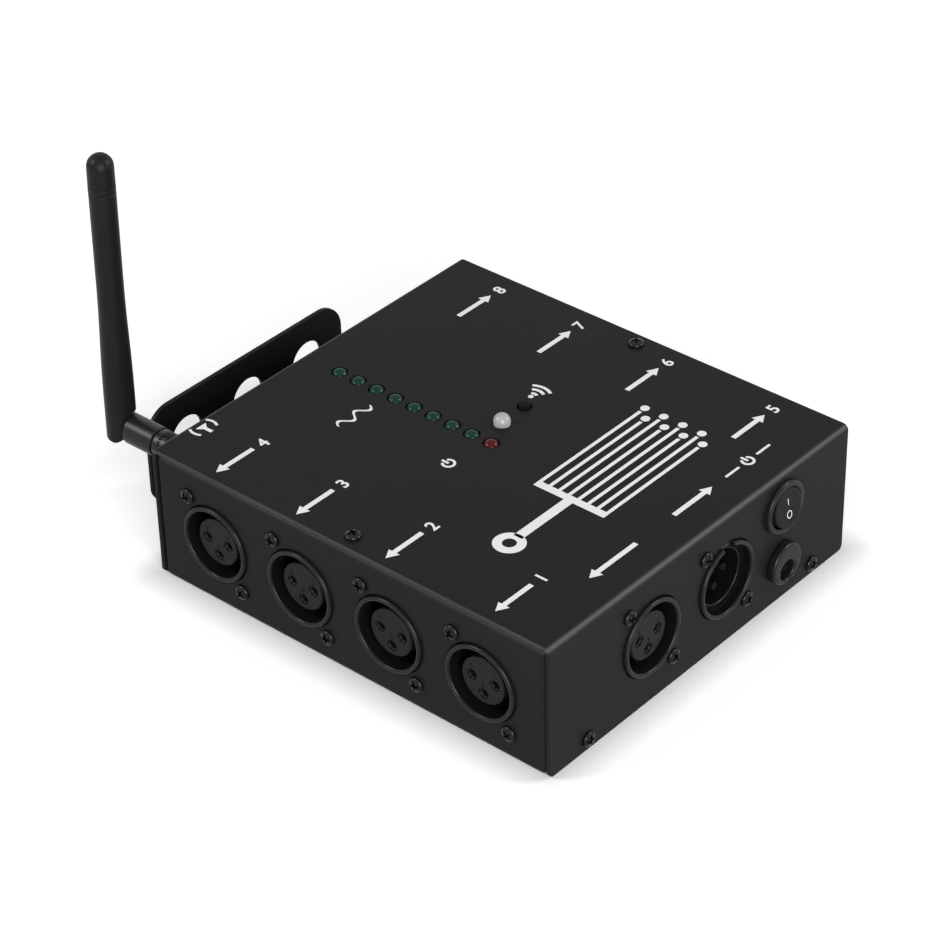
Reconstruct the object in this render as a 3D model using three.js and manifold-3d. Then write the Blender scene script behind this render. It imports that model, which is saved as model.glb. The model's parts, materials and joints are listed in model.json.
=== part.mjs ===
// Stage-lighting data splitter: a folded sheet-steel case with ten round three-pole connectors,
// a row of indicator lamps, a rocker switch, a power jack, a hinged antenna and a hanging bracket.
// Millimetres. X runs right along the front, Y to the rear and Z up.
// The origin is the centre of the case's underside.
import * as THREE from 'three';
import { mergeVertices } from 'three/addons/utils/BufferGeometryUtils.js';
import Module from 'manifold-3d';

const wasm = await Module();
wasm.setup();

// Clearances between neighbouring pieces, and the overrun of a cutting tool
const GAP = { seat: 0.05, running: 0.3, overrun: 1 };

// Case: outside sizes, then the folds of the two sheets that make it
const CASE = {
  width: 130, depth: 142, height: 42.5, sheet: 1.2, fold: 1.8, seam: 0.3, coverLift: 0.5,
  coverCorner: 2.5, sideFlange: 8, topFlange: 10, frontFlange: 6.4, rearFlange: 20,
};

// Machine screws with pan heads: M3 in the case and the connectors, M4 in the bracket
const SMALL_SCREW = { head: 2.3, headHeight: 1.4, dome: 0.5, shank: 1.5, length: 5 };
const LARGE_SCREW = { head: 3.7, headHeight: 2.4, dome: 0.8, shank: 2, length: 7 };
const CASE_SCREW = { topInset: 4.7, endInset: 15.5, endHeight: 3.9 };

// Round three-pole panel connector, seen from outside with x right and y up
const CONNECTOR = {
  flangeWidth: 26, flangeHeight: 29.5, flangeThick: 3, flangeCorner: 2.5,
  screwAcross: 19, screwUp: 24, ring: 11.4, mouth: 10.2, ringProud: 1, ringRound: 0.4,
  body: 12, depth: 18, backWall: 2, sideDrop: 0.75, frontRise: 0.25, pitchShare: 0.22535,
  throughShare: -0.177, inputShare: 0.0738,
};
// Female core and male pins; the three poles stand on a triangle
const CORE = { radius: 7.2, recess: 0.8, base: 9.9, baseThick: 2, hole: 1.5, holeDepth: 8 };
const PINS = { barrel: 8.2, step: 1.8, radius: 1.2, recess: 3.5, slot: 5, slotDepth: 7, slotReach: 10.6 };
const POLES = { across: 3.9, up: 0.2, down: 4.3 };

// Round rocker switch: the bezel stands proud of the panel and the rocker tips about a crosswise axis
const SWITCH = {
  xShare: 0.2665, heightShare: 0.7482, bezel: 7.85, bezelProud: 2, body: 7.3, depth: 12, mouth: 6.6,
  wellDepth: 5.5, bezelRound: 0.5, blade: 4.8, bladeThick: 0.8, bladeLength: 5, bladeSpread: 3.2,
};
const ROCKER = {
  radius: 6.2, sweep: 6.35, pivotHeight: 0.2, valley: 1.3, rise: 1.1, back: 2.6,
  restAngle: THREE.MathUtils.degToRad(9), toolWidth: 16,
};

// Direct-current jack, with its mouth below the middle of its round face
const JACK = { heightShare: 0.3047, face: 6.85, faceProud: 2, faceRound: 0.6, body: 6.2, depth: 11,
  mouth: 3.1, mouthDrop: 2.15, mouthDepth: 9.5, pin: 1.05, pinRecess: 1.5 };

// Boards inside the case
const BOARD = { thick: 1.6, sideClear: 5.5, endClear: 6, notchWidth: 16, notchDepth: 9,
  hole: 1.8, postXShare: 0.2923, postYShare: 0.324, post: 2.5, tip: 1.5, tipProud: 0.8 };
const CHIP = { length: 6, width: 9, height: 1.2, x: 27, controller: 14, can: 4, canHeight: 10,
  canX: 6, canYShare: -0.2394 };
const PANEL_BOARD = { drop: 6.5, thick: 1.6, left: -13, right: 24, front: -8, rearClear: 11, postInset: 3.5,
  pillar: 2.5, tip: 1.5, tipProud: 0.8, tipHole: 1.8 };
const RADIO = { length: 22, width: 16, height: 2, left: 6, rearInset: 4 };

// Lamps and button on the top face
const LAMP = { x: -3.95, redY: 0, rearEdge: 3.44, radius: 2.2, hole: 2.5, flange: 2.7, flangeHeight: 1,
  proud: 0.4, count: 8 };
const STATUS = { x: 5.4, y: 4, radius: 2.5, hole: 2.8, flange: 2.9, flangeHeight: 1, proud: 3.1 };
const BUTTON = { x: 15.6, y: 4.4, radius: 1.7, hole: 2.2, proud: 1.5, round: 0.3, travel: 0.5,
  bodySize: 6, bodyHeight: 3.6, well: 2, overlap: 0.6 };

// Antenna: threaded bulkhead in the rear panel, coupling nut, barrel and hinged whip
const ANTENNA = {
  inset: 14, drop: 10.5, thread: 3.1, threadLength: 7, core: 1.3, coreDepth: 6, insideFlange: 4.5,
  insideThick: 3, tail: 2.5, tailLength: 2, hexNut: 4.6, hexThick: 2.2,
  couplingStart: 3.9, couplingLength: 7.3, coupling: 4.2, knurlDepth: 0.25, knurlStart: 2,
  lip: 2.7, lipThick: 2.4, tailFlange: 3.1, tailFlangeThick: 1.2, neck: 2.4,
  barrel: 4.5, barrelRound: 0.4, hinge: 27.2, knuckle: 4.6, lapGap: 0.15, pin: 0.8, pinInset: 0.4,
};
const WHIP = { base: 4.5, baseRise: 19, middle: 3.85, top: 3.85, middleRise: 39, topRise: 87.9,
  capLength: 13.9, spigot: 2.4, spigotLength: 5, capEdge: 3.88, capTop: 3.8, shoulder: 4.9, lean: 1 };
const LEAD = { radius: 0.9, aisle: 1.6, bend: 3, slope: 11, steps: 30 };

// Hanging bracket: a channel with three clamp holes in its outer leg
const BRACKET = { widthShare: 0.6308, height: 28.5, depth: 29, sheet: 1.5, fold: 2.3, corner: 9,
  innerHeight: 24, hole: 6.3, pitch: 25.6, holeHeight: 14.2 };

// Numbers of sides on the faceted rounds
const SIDES = { large: 20, medium: 14, small: 10, screw: 8, fold: 2, corner: 4, knurl: 18, lead: 6 };
const DOME_RINGS = { lamp: 2, cap: 3 };
const HEX_SIDES = 6;
const OUTPUTS_PER_SIDE = 4;
const HEAD_CROWN_SHARE = 0.7;
const WELD = 1e-4;

// Half sizes and faces that many pieces share
const halfWidth = CASE.width / 2;
const halfDepth = CASE.depth / 2;
const coverInside = CASE.height - CASE.sheet;
const chassisTop = coverInside - CASE.seam;
const chassisHalfDepth = halfDepth - CASE.sheet - CASE.seam;
const sideHeight = CASE.height / 2 - CONNECTOR.sideDrop;
const frontHeight = CASE.height / 2 + CONNECTOR.frontRise;
const switchHeight = SWITCH.heightShare * CASE.height;
const jackHeight = JACK.heightShare * CASE.height;
const antennaHeight = CASE.height - ANTENNA.drop;
// The main board lies just under the side connectors' bodies
const boardTop = sideHeight - CONNECTOR.body - GAP.running;
const boardBottom = boardTop - BOARD.thick;
const panelBoardTop = CASE.height - PANEL_BOARD.drop;
const panelBoardBottom = panelBoardTop - PANEL_BOARD.thick;
const panelBoardRear = halfDepth - PANEL_BOARD.rearClear;
const lampPitch = (panelBoardRear - LAMP.rearEdge - LAMP.redY) / LAMP.count;
const whipSeam = WHIP.topRise - WHIP.capLength;
const smallHole = SMALL_SCREW.shank + GAP.running;
const largeHole = LARGE_SCREW.shank + GAP.running;
const switchX = SWITCH.xShare * CASE.width;
const antennaX = ANTENNA.inset - halfWidth;
const places = connectorPlaces();

// Finishes
function finish(color, roughness, metalness) {
  return new THREE.MeshStandardMaterial({ color, roughness, metalness });
}
const BLACK_COAT = finish('#2b2b2c', 0.55, 0.2);
const BLACK_PLASTIC = finish('#232324', 0.5, 0);
const DARK_PLASTIC = finish('#1b1b1c', 0.45, 0);
const BLACK_STEEL = finish('#2a2a2b', 0.35, 0.8);
const RUBBER = finish('#2c2c2d', 0.7, 0);
const PLATED = finish('#b9b7b0', 0.3, 1);
const BRASS = finish('#b48a3c', 0.35, 1);
const CIRCUIT = finish('#1d5a38', 0.5, 0);
const GREEN_LENS = finish('#0c3a2c', 0.15, 0);
const RED_LENS = finish('#5a0a10', 0.15, 0);
const MILK_LENS = finish('#d4d4d2', 0.3, 0);

// Joining and cutting of closed solids

function signedVolume(spots, corners) {
  const [a, b, c] = [new THREE.Vector3(), new THREE.Vector3(), new THREE.Vector3()];
  let total = 0;
  for (let i = 0; i < corners.length; i += 3) {
    a.fromArray(spots, 3 * corners[i]);
    b.fromArray(spots, 3 * corners[i + 1]);
    c.fromArray(spots, 3 * corners[i + 2]);
    total += a.dot(b.cross(c)) / 6;
  }
  return total;
}

// A solid with its faces turned outward, whichever way round the geometry was drawn
function solidFrom(geometry) {
  const bare = geometry.clone();
  bare.deleteAttribute('normal');
  bare.deleteAttribute('uv');
  const welded = mergeVertices(bare, WELD);
  const spots = Float32Array.from(welded.attributes.position.array);
  const corners = [];
  for (let i = 0; i < welded.index.count; i += 3) {
    const [a, b, c] = [welded.index.getX(i), welded.index.getX(i + 1), welded.index.getX(i + 2)];
    if (a !== b && b !== c && c !== a) corners.push(a, b, c);
  }
  if (signedVolume(spots, corners) < 0) corners.reverse();
  const mesh = new wasm.Mesh({ numProp: 3, vertProperties: spots, triVerts: Uint32Array.from(corners) });
  return new wasm.Manifold(mesh);
}

function geometryFrom(solid) {
  const mesh = solid.getMesh();
  const geometry = new THREE.BufferGeometry();
  geometry.setAttribute('position', new THREE.BufferAttribute(Float32Array.from(mesh.vertProperties), 3));
  geometry.setIndex(Array.from(mesh.triVerts));
  geometry.computeVertexNormals();
  return geometry;
}

// The base with some pieces joined on, then others cut away, then kept within a mask
function carve(base, { join = [], cut = [], keep = [] }) {
  let body = solidFrom(base);
  for (const piece of join) body = body.add(solidFrom(piece));
  for (const piece of cut) body = body.subtract(solidFrom(piece));
  for (const piece of keep) body = body.intersect(solidFrom(piece));
  return geometryFrom(body);
}

// Plain shapes, all drawn on the Z axis

function bar(radius, from, to, sides) {
  const geometry = new THREE.CylinderGeometry(radius, radius, to - from, sides);
  geometry.rotateX(Math.PI / 2);
  geometry.translate(0, 0, (from + to) / 2);
  return geometry;
}

function block(low, high) {
  const size = high.map((value, axis) => value - low[axis]);
  const geometry = new THREE.BoxGeometry(...size);
  geometry.translate(...high.map((value, axis) => (value + low[axis]) / 2));
  return geometry;
}

// A turned piece: each point of the profile is a radius and a height
function turned(profile, sides) {
  const geometry = new THREE.LatheGeometry(profile.map(([r, h]) => new THREE.Vector2(r, h)), sides);
  geometry.rotateX(Math.PI / 2);
  return geometry;
}

// The profile points of a round end, from its full radius up to its tip on the axis
function dome(radius, tip, rings) {
  const points = [];
  for (let i = 0; i < rings; i += 1) {
    const angle = (i / rings) * (Math.PI / 2);
    points.push([radius * Math.cos(angle), tip - radius + radius * Math.sin(angle)]);
  }
  points.push([0, tip]);
  return points;
}

function slab(shape, from, to) {
  const settings = { depth: to - from, bevelEnabled: false, curveSegments: SIDES.fold };
  const geometry = new THREE.ExtrudeGeometry(shape, settings);
  geometry.translate(0, 0, from);
  return geometry;
}

// A rectangle between two corners, with one radius for its upper and one for its lower corners
function outline(left, right, bottom, top, upper, lower, steps = SIDES.fold) {
  const corners = [
    [right - lower, bottom + lower, lower, 3], [right - upper, top - upper, upper, 0],
    [left + upper, top - upper, upper, 1], [left + lower, bottom + lower, lower, 2],
  ];
  const points = [];
  for (const [x, y, radius, quarter] of corners) {
    const last = radius > 0 ? steps : 0;
    for (let i = 0; i <= last; i += 1) {
      const angle = (quarter + (last > 0 ? i / last : 0)) * (Math.PI / 2);
      points.push(new THREE.Vector2(x + radius * Math.cos(angle), y + radius * Math.sin(angle)));
    }
  }
  return new THREE.Shape(points);
}

// The same geometry turned from the Z axis to another direction
function facingRear(geometry) {
  return geometry.rotateX(-Math.PI / 2);
}
function facingFront(geometry) {
  return geometry.rotateX(Math.PI / 2);
}
function facingRight(geometry) {
  return geometry.rotateY(Math.PI / 2);
}
// A side view drawn in Y and Z becomes a length along X
function alongX(geometry) {
  return geometry.rotateX(Math.PI / 2).rotateZ(Math.PI / 2);
}

function named(name, geometry, material) {
  const mesh = new THREE.Mesh(geometry, material);
  mesh.name = name;
  return mesh;
}

const splitter = new THREE.Group();

// Screws, head up, with the underside of the head at zero

function panScrew(screw) {
  const edge = screw.headHeight - screw.dome;
  const profile = [
    [0, -screw.length], [screw.shank, -screw.length], [screw.shank, 0], [screw.head, 0],
    [screw.head, edge], [screw.head * HEAD_CROWN_SHARE, screw.headHeight], [0, screw.headHeight],
  ];
  return turned(profile, SIDES.screw);
}

// Connectors

// Panel places, each with the turn from the front face about the Z axis
function connectorPlaces() {
  const places = [];
  for (let i = 0; i < OUTPUTS_PER_SIDE; i += 1) {
    const y = (i - (OUTPUTS_PER_SIDE - 1) / 2) * CONNECTOR.pitchShare * CASE.depth;
    const left = { name: `output_${i + 1}`, at: [-halfWidth, y, sideHeight], turn: -Math.PI / 2 };
    const right = { name: `output_${i + 1 + OUTPUTS_PER_SIDE}`, turn: Math.PI / 2 };
    right.at = [halfWidth, y, sideHeight];
    places.push(left, right);
  }
  const through = { name: 'through', turn: 0 };
  through.at = [CONNECTOR.throughShare * CASE.width, -halfDepth, frontHeight];
  const input = { name: 'input', turn: 0, male: true };
  input.at = [CONNECTOR.inputShare * CASE.width, -halfDepth, frontHeight];
  places.push(through, input);
  return places;
}

function onPanel(geometry, place) {
  return facingFront(geometry).rotateZ(place.turn).translate(...place.at);
}

const screwSpots = [
  [-CONNECTOR.screwAcross / 2, CONNECTOR.screwUp / 2],
  [CONNECTOR.screwAcross / 2, -CONNECTOR.screwUp / 2],
];
const poleSpots = [[-POLES.across, POLES.up], [POLES.across, POLES.up], [0, -POLES.down]];

// What a panel loses for one connector: the round hole and two screw holes
function connectorHoles(place) {
  const from = -CASE.sheet - GAP.overrun;
  const tools = [bar(CONNECTOR.ring + GAP.running, from, GAP.overrun, SIDES.large)];
  for (const [x, y] of screwSpots) {
    tools.push(bar(smallHole, from, GAP.overrun, SIDES.screw).translate(x, y, 0));
  }
  return tools.map((tool) => onPanel(tool, place));
}

// What the chassis's front flange would lose where it met a connector's own flange
function flangeRoom(place) {
  const across = CONNECTOR.flangeWidth / 2 + GAP.running;
  const up = CONNECTOR.flangeHeight / 2 + GAP.running;
  const back = -CASE.sheet - CONNECTOR.flangeThick - GAP.running;
  return onPanel(block([-across, -up, back], [across, up, GAP.overrun]), place);
}

// Shell with its flange behind the panel, its ring in front and its two screws
function connectorShell(male) {
  const front = -CASE.sheet - GAP.seat;
  const back = front - CONNECTOR.flangeThick;
  const end = -CASE.sheet - CONNECTOR.depth;
  const ringEdge = CONNECTOR.ringProud - CONNECTOR.ringRound;
  const body = turned([
    [0, end], [CONNECTOR.body, end], [CONNECTOR.body, back], [CONNECTOR.ring, back],
    [CONNECTOR.ring, ringEdge], [CONNECTOR.ring - CONNECTOR.ringRound, CONNECTOR.ringProud],
    [0, CONNECTOR.ringProud],
  ], SIDES.large);
  const across = CONNECTOR.flangeWidth / 2;
  const up = CONNECTOR.flangeHeight / 2;
  const corner = CONNECTOR.flangeCorner;
  const flange = slab(outline(-across, across, -up, up, corner, corner), back, front);
  const screws = screwSpots.map(([x, y]) => panScrew(SMALL_SCREW).translate(x, y, GAP.seat));
  const floor = end + CONNECTOR.backWall;
  const over = CONNECTOR.ringProud + GAP.overrun;
  if (!male) {
    return carve(body, { join: [flange, ...screws], cut: [bar(CONNECTOR.mouth, floor, over, SIDES.large)] });
  }
  const half = PINS.slot / 2;
  const cut = [
    bar(CONNECTOR.mouth, -PINS.step, over, SIDES.large),
    bar(PINS.barrel, floor, over, SIDES.large),
    block([-half, 0, -PINS.slotDepth], [half, PINS.slotReach, over]),
    block([-half, 0, CONNECTOR.ringRound], [half, CONNECTOR.ring + GAP.overrun, over]),
  ];
  return carve(body, { join: [flange, ...screws], cut });
}

// Female core with its three contact holes, standing on the back wall
function femaleCore() {
  const floor = -CASE.sheet - CONNECTOR.depth + CONNECTOR.backWall + GAP.seat;
  const top = -CORE.recess;
  const core = turned([
    [0, floor], [CORE.base, floor], [CORE.base, floor + CORE.baseThick],
    [CORE.radius, floor + CORE.baseThick], [CORE.radius, top], [0, top],
  ], SIDES.large);
  const cut = poleSpots.map(([x, y]) => {
    const hole = bar(CORE.hole, top - CORE.holeDepth, top + GAP.overrun, SIDES.screw);
    return hole.translate(x, y, 0);
  });
  return carve(core, { cut });
}

// Male base with its three pins
function malePins() {
  const floor = -CASE.sheet - CONNECTOR.depth + CONNECTOR.backWall + GAP.seat;
  const base = bar(PINS.barrel - GAP.running, floor, floor + CORE.baseThick, SIDES.large);
  const join = poleSpots.map(([x, y]) => {
    const pin = bar(PINS.radius, floor, -PINS.recess, SIDES.small);
    return pin.translate(x, y, 0);
  });
  return carve(base, { join });
}

function addConnectors() {
  for (const place of places) {
    const spot = new THREE.Group();
    spot.position.set(...place.at);
    spot.rotation.z = place.turn;
    const face = new THREE.Group();
    face.rotation.x = Math.PI / 2;
    const shell = named(`${place.name}_shell`, connectorShell(place.male), BLACK_PLASTIC);
    const insert = place.male
      ? named(`${place.name}_pins`, malePins(), DARK_PLASTIC)
      : named(`${place.name}_core`, femaleCore(), DARK_PLASTIC);
    face.add(shell, insert);
    spot.add(face);
    splitter.add(spot);
  }
}

// Case

const endScrewX = halfWidth - CASE_SCREW.endInset;
const topScrewX = halfWidth - CASE_SCREW.topInset;
const lampYs = Array.from({ length: LAMP.count + 1 }, (_, i) => LAMP.redY + lampPitch * i);

// Holes in the front and rear walls are drawn from outside the case to past the chassis flange
function wallHole(radius, x, height, rear, sides) {
  const reach = CASE.sheet * 2 + CASE.seam + GAP.overrun;
  const tool = facingRear(bar(radius, -reach, GAP.overrun, sides));
  if (!rear) tool.rotateZ(Math.PI);
  return tool.translate(x, rear ? halfDepth : -halfDepth, height);
}

function fasteningHoles() {
  const tools = [];
  const low = chassisTop - CASE.sheet - GAP.overrun;
  const over = CASE.height + GAP.overrun;
  for (const side of [-1, 1]) {
    tools.push(wallHole(smallHole, side * endScrewX, CASE_SCREW.endHeight, false, SIDES.screw));
    tools.push(wallHole(smallHole, side * endScrewX, CASE_SCREW.endHeight, true, SIDES.screw));
    tools.push(wallHole(largeHole, side * BRACKET.pitch, BRACKET.holeHeight, true, SIDES.small));
    tools.push(bar(smallHole, low, over, SIDES.screw).translate(side * topScrewX, 0, 0));
  }
  return tools;
}

function inletHoles() {
  return [
    wallHole(SWITCH.body + GAP.running, switchX, switchHeight, false, SIDES.large),
    wallHole(JACK.body + GAP.running, switchX, jackHeight, false, SIDES.large),
  ];
}

// Front, top and rear of the case: one sheet folded twice
function upperCover() {
  const t = CASE.sheet;
  const f = CASE.fold;
  const top = CASE.height;
  const low = CASE.coverLift;
  const shape = new THREE.Shape();
  shape.moveTo(-halfDepth, low);
  shape.lineTo(-halfDepth, top - f);
  shape.absarc(-halfDepth + f, top - f, f, Math.PI, Math.PI / 2, true);
  shape.absarc(halfDepth - f, top - f, f, Math.PI / 2, 0, true);
  shape.lineTo(halfDepth, low);
  shape.lineTo(halfDepth - t, low);
  shape.absarc(halfDepth - f, top - f, f - t, 0, Math.PI / 2, false);
  shape.absarc(-halfDepth + f, top - f, f - t, Math.PI / 2, Math.PI, false);
  shape.lineTo(-halfDepth + t, low);
  shape.closePath();
  const sheet = alongX(slab(shape, -halfWidth, halfWidth));
  const mask = outline(-halfWidth, halfWidth, low, top, 0, CASE.coverCorner);
  const keep = [facingFront(slab(mask, -CASE.depth, CASE.depth))];
  const from = coverInside - GAP.overrun;
  const over = top + GAP.overrun;
  const cut = [
    ...fasteningHoles(),
    ...lampYs.map((y) => bar(LAMP.hole, from, over, SIDES.medium).translate(LAMP.x, y, 0)),
    bar(STATUS.hole, from, over, SIDES.medium).translate(STATUS.x, STATUS.y, 0),
    bar(BUTTON.hole, from, over, SIDES.medium).translate(BUTTON.x, BUTTON.y, 0),
    ...places.filter((place) => place.turn === 0).flatMap(connectorHoles),
    ...inletHoles(),
    wallHole(ANTENNA.thread + GAP.running, antennaX, antennaHeight, true, SIDES.medium),
  ];
  return carve(sheet, { cut, keep });
}

// A box with rounded sides, drawn as three outlines that cross
function foldedBox(x, y, low, high, round) {
  const long = CASE.depth;
  const plan = slab(outline(-x, x, -y, y, round, round), low, high);
  const frontView = facingFront(slab(outline(-x, x, low, high, round, round), -long, long));
  const sideView = alongX(slab(outline(-y, y, low, high, 0, round), -long, long));
  return carve(plan, { keep: [frontView, sideView] });
}

// Floor, both sides and the flanges that carry the cover, with pressed-in posts for the main board
function lowerChassis() {
  const t = CASE.sheet;
  const x = halfWidth;
  const y = chassisHalfDepth;
  const over = GAP.overrun;
  const outer = foldedBox(x, y, 0, chassisTop, CASE.fold);
  const inner = foldedBox(x - t, y - t, t, chassisTop - t, CASE.fold - t);
  const topX = x - CASE.topFlange;
  const endX = x - CASE.sideFlange;
  const windows = [
    block([-topX, -y - over, chassisTop - t - over], [topX, y + over, chassisTop + over]),
    block([-endX, -y - over, CASE.frontFlange], [endX, -y + t + over, chassisTop + over]),
    block([-endX, y - t - over, CASE.rearFlange], [endX, y + over, chassisTop + over]),
  ];
  const posts = [];
  for (const [px, py] of boardPosts()) {
    const tip = boardTop + BOARD.tipProud;
    posts.push(bar(BOARD.post, t / 2, boardBottom - GAP.seat, SIDES.small).translate(px, py, 0));
    posts.push(bar(BOARD.tip, t / 2, tip, SIDES.screw).translate(px, py, 0));
  }
  const holes = [
    ...fasteningHoles(),
    ...inletHoles(),
    ...places.filter((place) => place.turn !== 0).flatMap(connectorHoles),
    ...places.filter((place) => place.turn === 0).map(flangeRoom),
  ];
  const shell = carve(outer, { cut: [inner, ...windows, ...holes] });
  return carve(shell, { join: posts });
}

function addCase() {
  splitter.add(named('lower_chassis', lowerChassis(), BLACK_COAT));
  splitter.add(named('upper_cover', upperCover(), BLACK_COAT));
  for (const [side, label] of [[-1, 'left'], [1, 'right']]) {
    const top = panScrew(SMALL_SCREW).translate(side * topScrewX, 0, CASE.height + GAP.seat);
    splitter.add(named(`cover_screw_top_${label}`, top, BLACK_STEEL));
    const front = facingFront(panScrew(SMALL_SCREW));
    front.translate(side * endScrewX, -halfDepth - GAP.seat, CASE_SCREW.endHeight);
    splitter.add(named(`cover_screw_front_${label}`, front, BLACK_STEEL));
    const rear = facingRear(panScrew(SMALL_SCREW));
    rear.translate(side * endScrewX, halfDepth + GAP.seat, CASE_SCREW.endHeight);
    splitter.add(named(`cover_screw_rear_${label}`, rear, BLACK_STEEL));
  }
}

// Power switch and jack, drawn facing up and then turned to the front panel

function onFront(geometry, height) {
  return facingFront(geometry).translate(switchX, -halfDepth, height);
}

function switchHousing() {
  const edge = SWITCH.bezelProud - SWITCH.bezelRound;
  const end = -CASE.sheet - SWITCH.depth;
  const housing = turned([
    [0, end], [SWITCH.body, end], [SWITCH.body, GAP.seat], [SWITCH.bezel, GAP.seat],
    [SWITCH.bezel, edge], [SWITCH.bezel - SWITCH.bezelRound, SWITCH.bezelProud], [0, SWITCH.bezelProud],
  ], SIDES.large);
  const half = SWITCH.blade / 2;
  const thin = SWITCH.bladeThick / 2;
  const blades = [-1, 1].map((side) => {
    const y = side * SWITCH.bladeSpread;
    return block([-half, y - thin, end - SWITCH.bladeLength], [half, y + thin, end + GAP.overrun]);
  });
  const well = bar(SWITCH.mouth, -SWITCH.wellDepth, SWITCH.bezelProud + GAP.overrun, SIDES.large);
  return carve(housing, { join: blades, cut: [well] });
}

// The rocker's face is a shallow valley, and its ends are rounded about its own axis
function switchRocker() {
  const wide = ROCKER.toolWidth / 2;
  const face = ROCKER.valley - ROCKER.pivotHeight;
  const high = face + ROCKER.rise;
  const disc = bar(ROCKER.radius, -ROCKER.back, high, SIDES.large);
  const side = new THREE.Shape();
  side.moveTo(-ROCKER.radius, -ROCKER.back);
  side.lineTo(ROCKER.radius, -ROCKER.back);
  side.lineTo(ROCKER.radius, high);
  side.lineTo(0, face);
  side.lineTo(-ROCKER.radius, high);
  side.closePath();
  const valley = alongX(slab(side, -wide, wide));
  const sweep = facingRight(bar(ROCKER.sweep, -wide, wide, SIDES.large));
  const rocker = carve(disc, { keep: [valley, sweep] });
  return rocker.rotateX(-ROCKER.restAngle).translate(0, 0, ROCKER.pivotHeight);
}

function powerJack() {
  const end = -CASE.sheet - JACK.depth;
  const edge = JACK.faceProud - JACK.faceRound;
  const body = turned([
    [0, end], [JACK.body, end], [JACK.body, GAP.seat], [JACK.face, GAP.seat],
    [JACK.face, edge], [JACK.face - JACK.faceRound, JACK.faceProud], [0, JACK.faceProud],
  ], SIDES.large);
  const floor = JACK.faceProud - JACK.mouthDepth;
  const mouth = bar(JACK.mouth, floor, JACK.faceProud + GAP.overrun, SIDES.medium);
  const pin = bar(JACK.pin, floor - GAP.overrun, JACK.faceProud - JACK.pinRecess, SIDES.screw);
  const hollow = carve(body, { cut: [mouth.translate(0, -JACK.mouthDrop, 0)] });
  return carve(hollow, { join: [pin.translate(0, -JACK.mouthDrop, 0)] });
}

function addPowerInlet() {
  splitter.add(named('power_switch_housing', onFront(switchHousing(), switchHeight), BLACK_PLASTIC));
  splitter.add(named('power_switch_rocker', onFront(switchRocker(), switchHeight), BLACK_PLASTIC));
  splitter.add(named('power_jack', onFront(powerJack(), jackHeight), BLACK_PLASTIC));
}

// Boards

function boardPosts() {
  const postX = BOARD.postXShare * CASE.width;
  const postY = BOARD.postYShare * CASE.depth;
  return [[-1, -1], [-1, 1], [1, -1], [1, 1]].map(([a, b]) => [a * postX, b * postY]);
}

function pillarSpots() {
  const { left, right, front, postInset } = PANEL_BOARD;
  return [[left + postInset, panelBoardRear - postInset], [right - postInset, front + postInset]];
}

// Main board with a line driver for each output, a controller and a smoothing capacitor
function mainBoard() {
  const x = halfWidth - BOARD.sideClear;
  const y = halfDepth - BOARD.endClear;
  const board = block([-x, -y, boardBottom], [x, y, boardTop]);
  const low = boardTop - BOARD.thick / 2;
  const join = [];
  for (const place of places.filter((one) => one.turn !== 0)) {
    const cx = Math.sign(place.at[0]) * CHIP.x;
    const cy = place.at[1];
    const [hx, hy] = [CHIP.width / 2, CHIP.length / 2];
    join.push(block([cx - hx, cy - hy, low], [cx + hx, cy + hy, boardTop + CHIP.height]));
  }
  const half = CHIP.controller / 2;
  join.push(block([-half, -half, low], [half, half, boardTop + CHIP.height]));
  const can = bar(CHIP.can, low, boardTop + CHIP.canHeight, SIDES.small);
  join.push(can.translate(CHIP.canX, CHIP.canYShare * CASE.depth, 0));
  const spots = [...boardPosts(), ...pillarSpots()];
  const cut = spots.map(([px, py]) => bar(BOARD.hole, 0, coverInside, SIDES.screw).translate(px, py, 0));
  const notch = BOARD.notchWidth / 2;
  cut.push(block([switchX - notch, -halfDepth, 0], [switchX + notch, -y + BOARD.notchDepth, coverInside]));
  return carve(board, { join, cut });
}

// Upper board under the lamps and the button
function indicatorBoard() {
  const { left, right, front } = PANEL_BOARD;
  const board = block([left, front, panelBoardBottom], [right, panelBoardRear, panelBoardTop]);
  const cut = pillarSpots().map(([px, py]) => {
    const hole = bar(PANEL_BOARD.tipHole, 0, coverInside, SIDES.screw);
    return hole.translate(px, py, 0);
  });
  return carve(board, { cut });
}

// Pillar between the boards, with a tip through each
function boardPillar() {
  const low = boardTop + GAP.seat;
  const high = panelBoardBottom - GAP.seat;
  const reach = BOARD.thick + PANEL_BOARD.tipProud;
  return turned([
    [0, low - reach], [PANEL_BOARD.tip, low - reach], [PANEL_BOARD.tip, low], [PANEL_BOARD.pillar, low],
    [PANEL_BOARD.pillar, high], [PANEL_BOARD.tip, high], [PANEL_BOARD.tip, high + reach], [0, high + reach],
  ], SIDES.small);
}

function addBoards() {
  splitter.add(named('main_board', mainBoard(), CIRCUIT));
  splitter.add(named('indicator_board', indicatorBoard(), CIRCUIT));
  pillarSpots().forEach(([x, y], i) => {
    splitter.add(named(`board_pillar_${i + 1}`, boardPillar().translate(x, y, 0), PLATED));
  });
  const rear = panelBoardRear - RADIO.rearInset;
  const low = panelBoardTop + GAP.seat;
  const far = [RADIO.left + RADIO.width, rear, low + RADIO.height];
  const radio = block([RADIO.left, rear - RADIO.length, low], far);
  splitter.add(named('radio_module', radio, PLATED));
}

// Lamps and button, standing on the indicator board

function lamp(size) {
  const low = panelBoardTop + GAP.seat;
  const tip = CASE.height + size.proud;
  const profile = [[0, low], [size.flange, low], [size.flange, low + size.flangeHeight],
    [size.radius, low + size.flangeHeight]];
  profile.push(...dome(size.radius, tip, DOME_RINGS.lamp));
  return turned(profile, SIDES.small);
}

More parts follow.
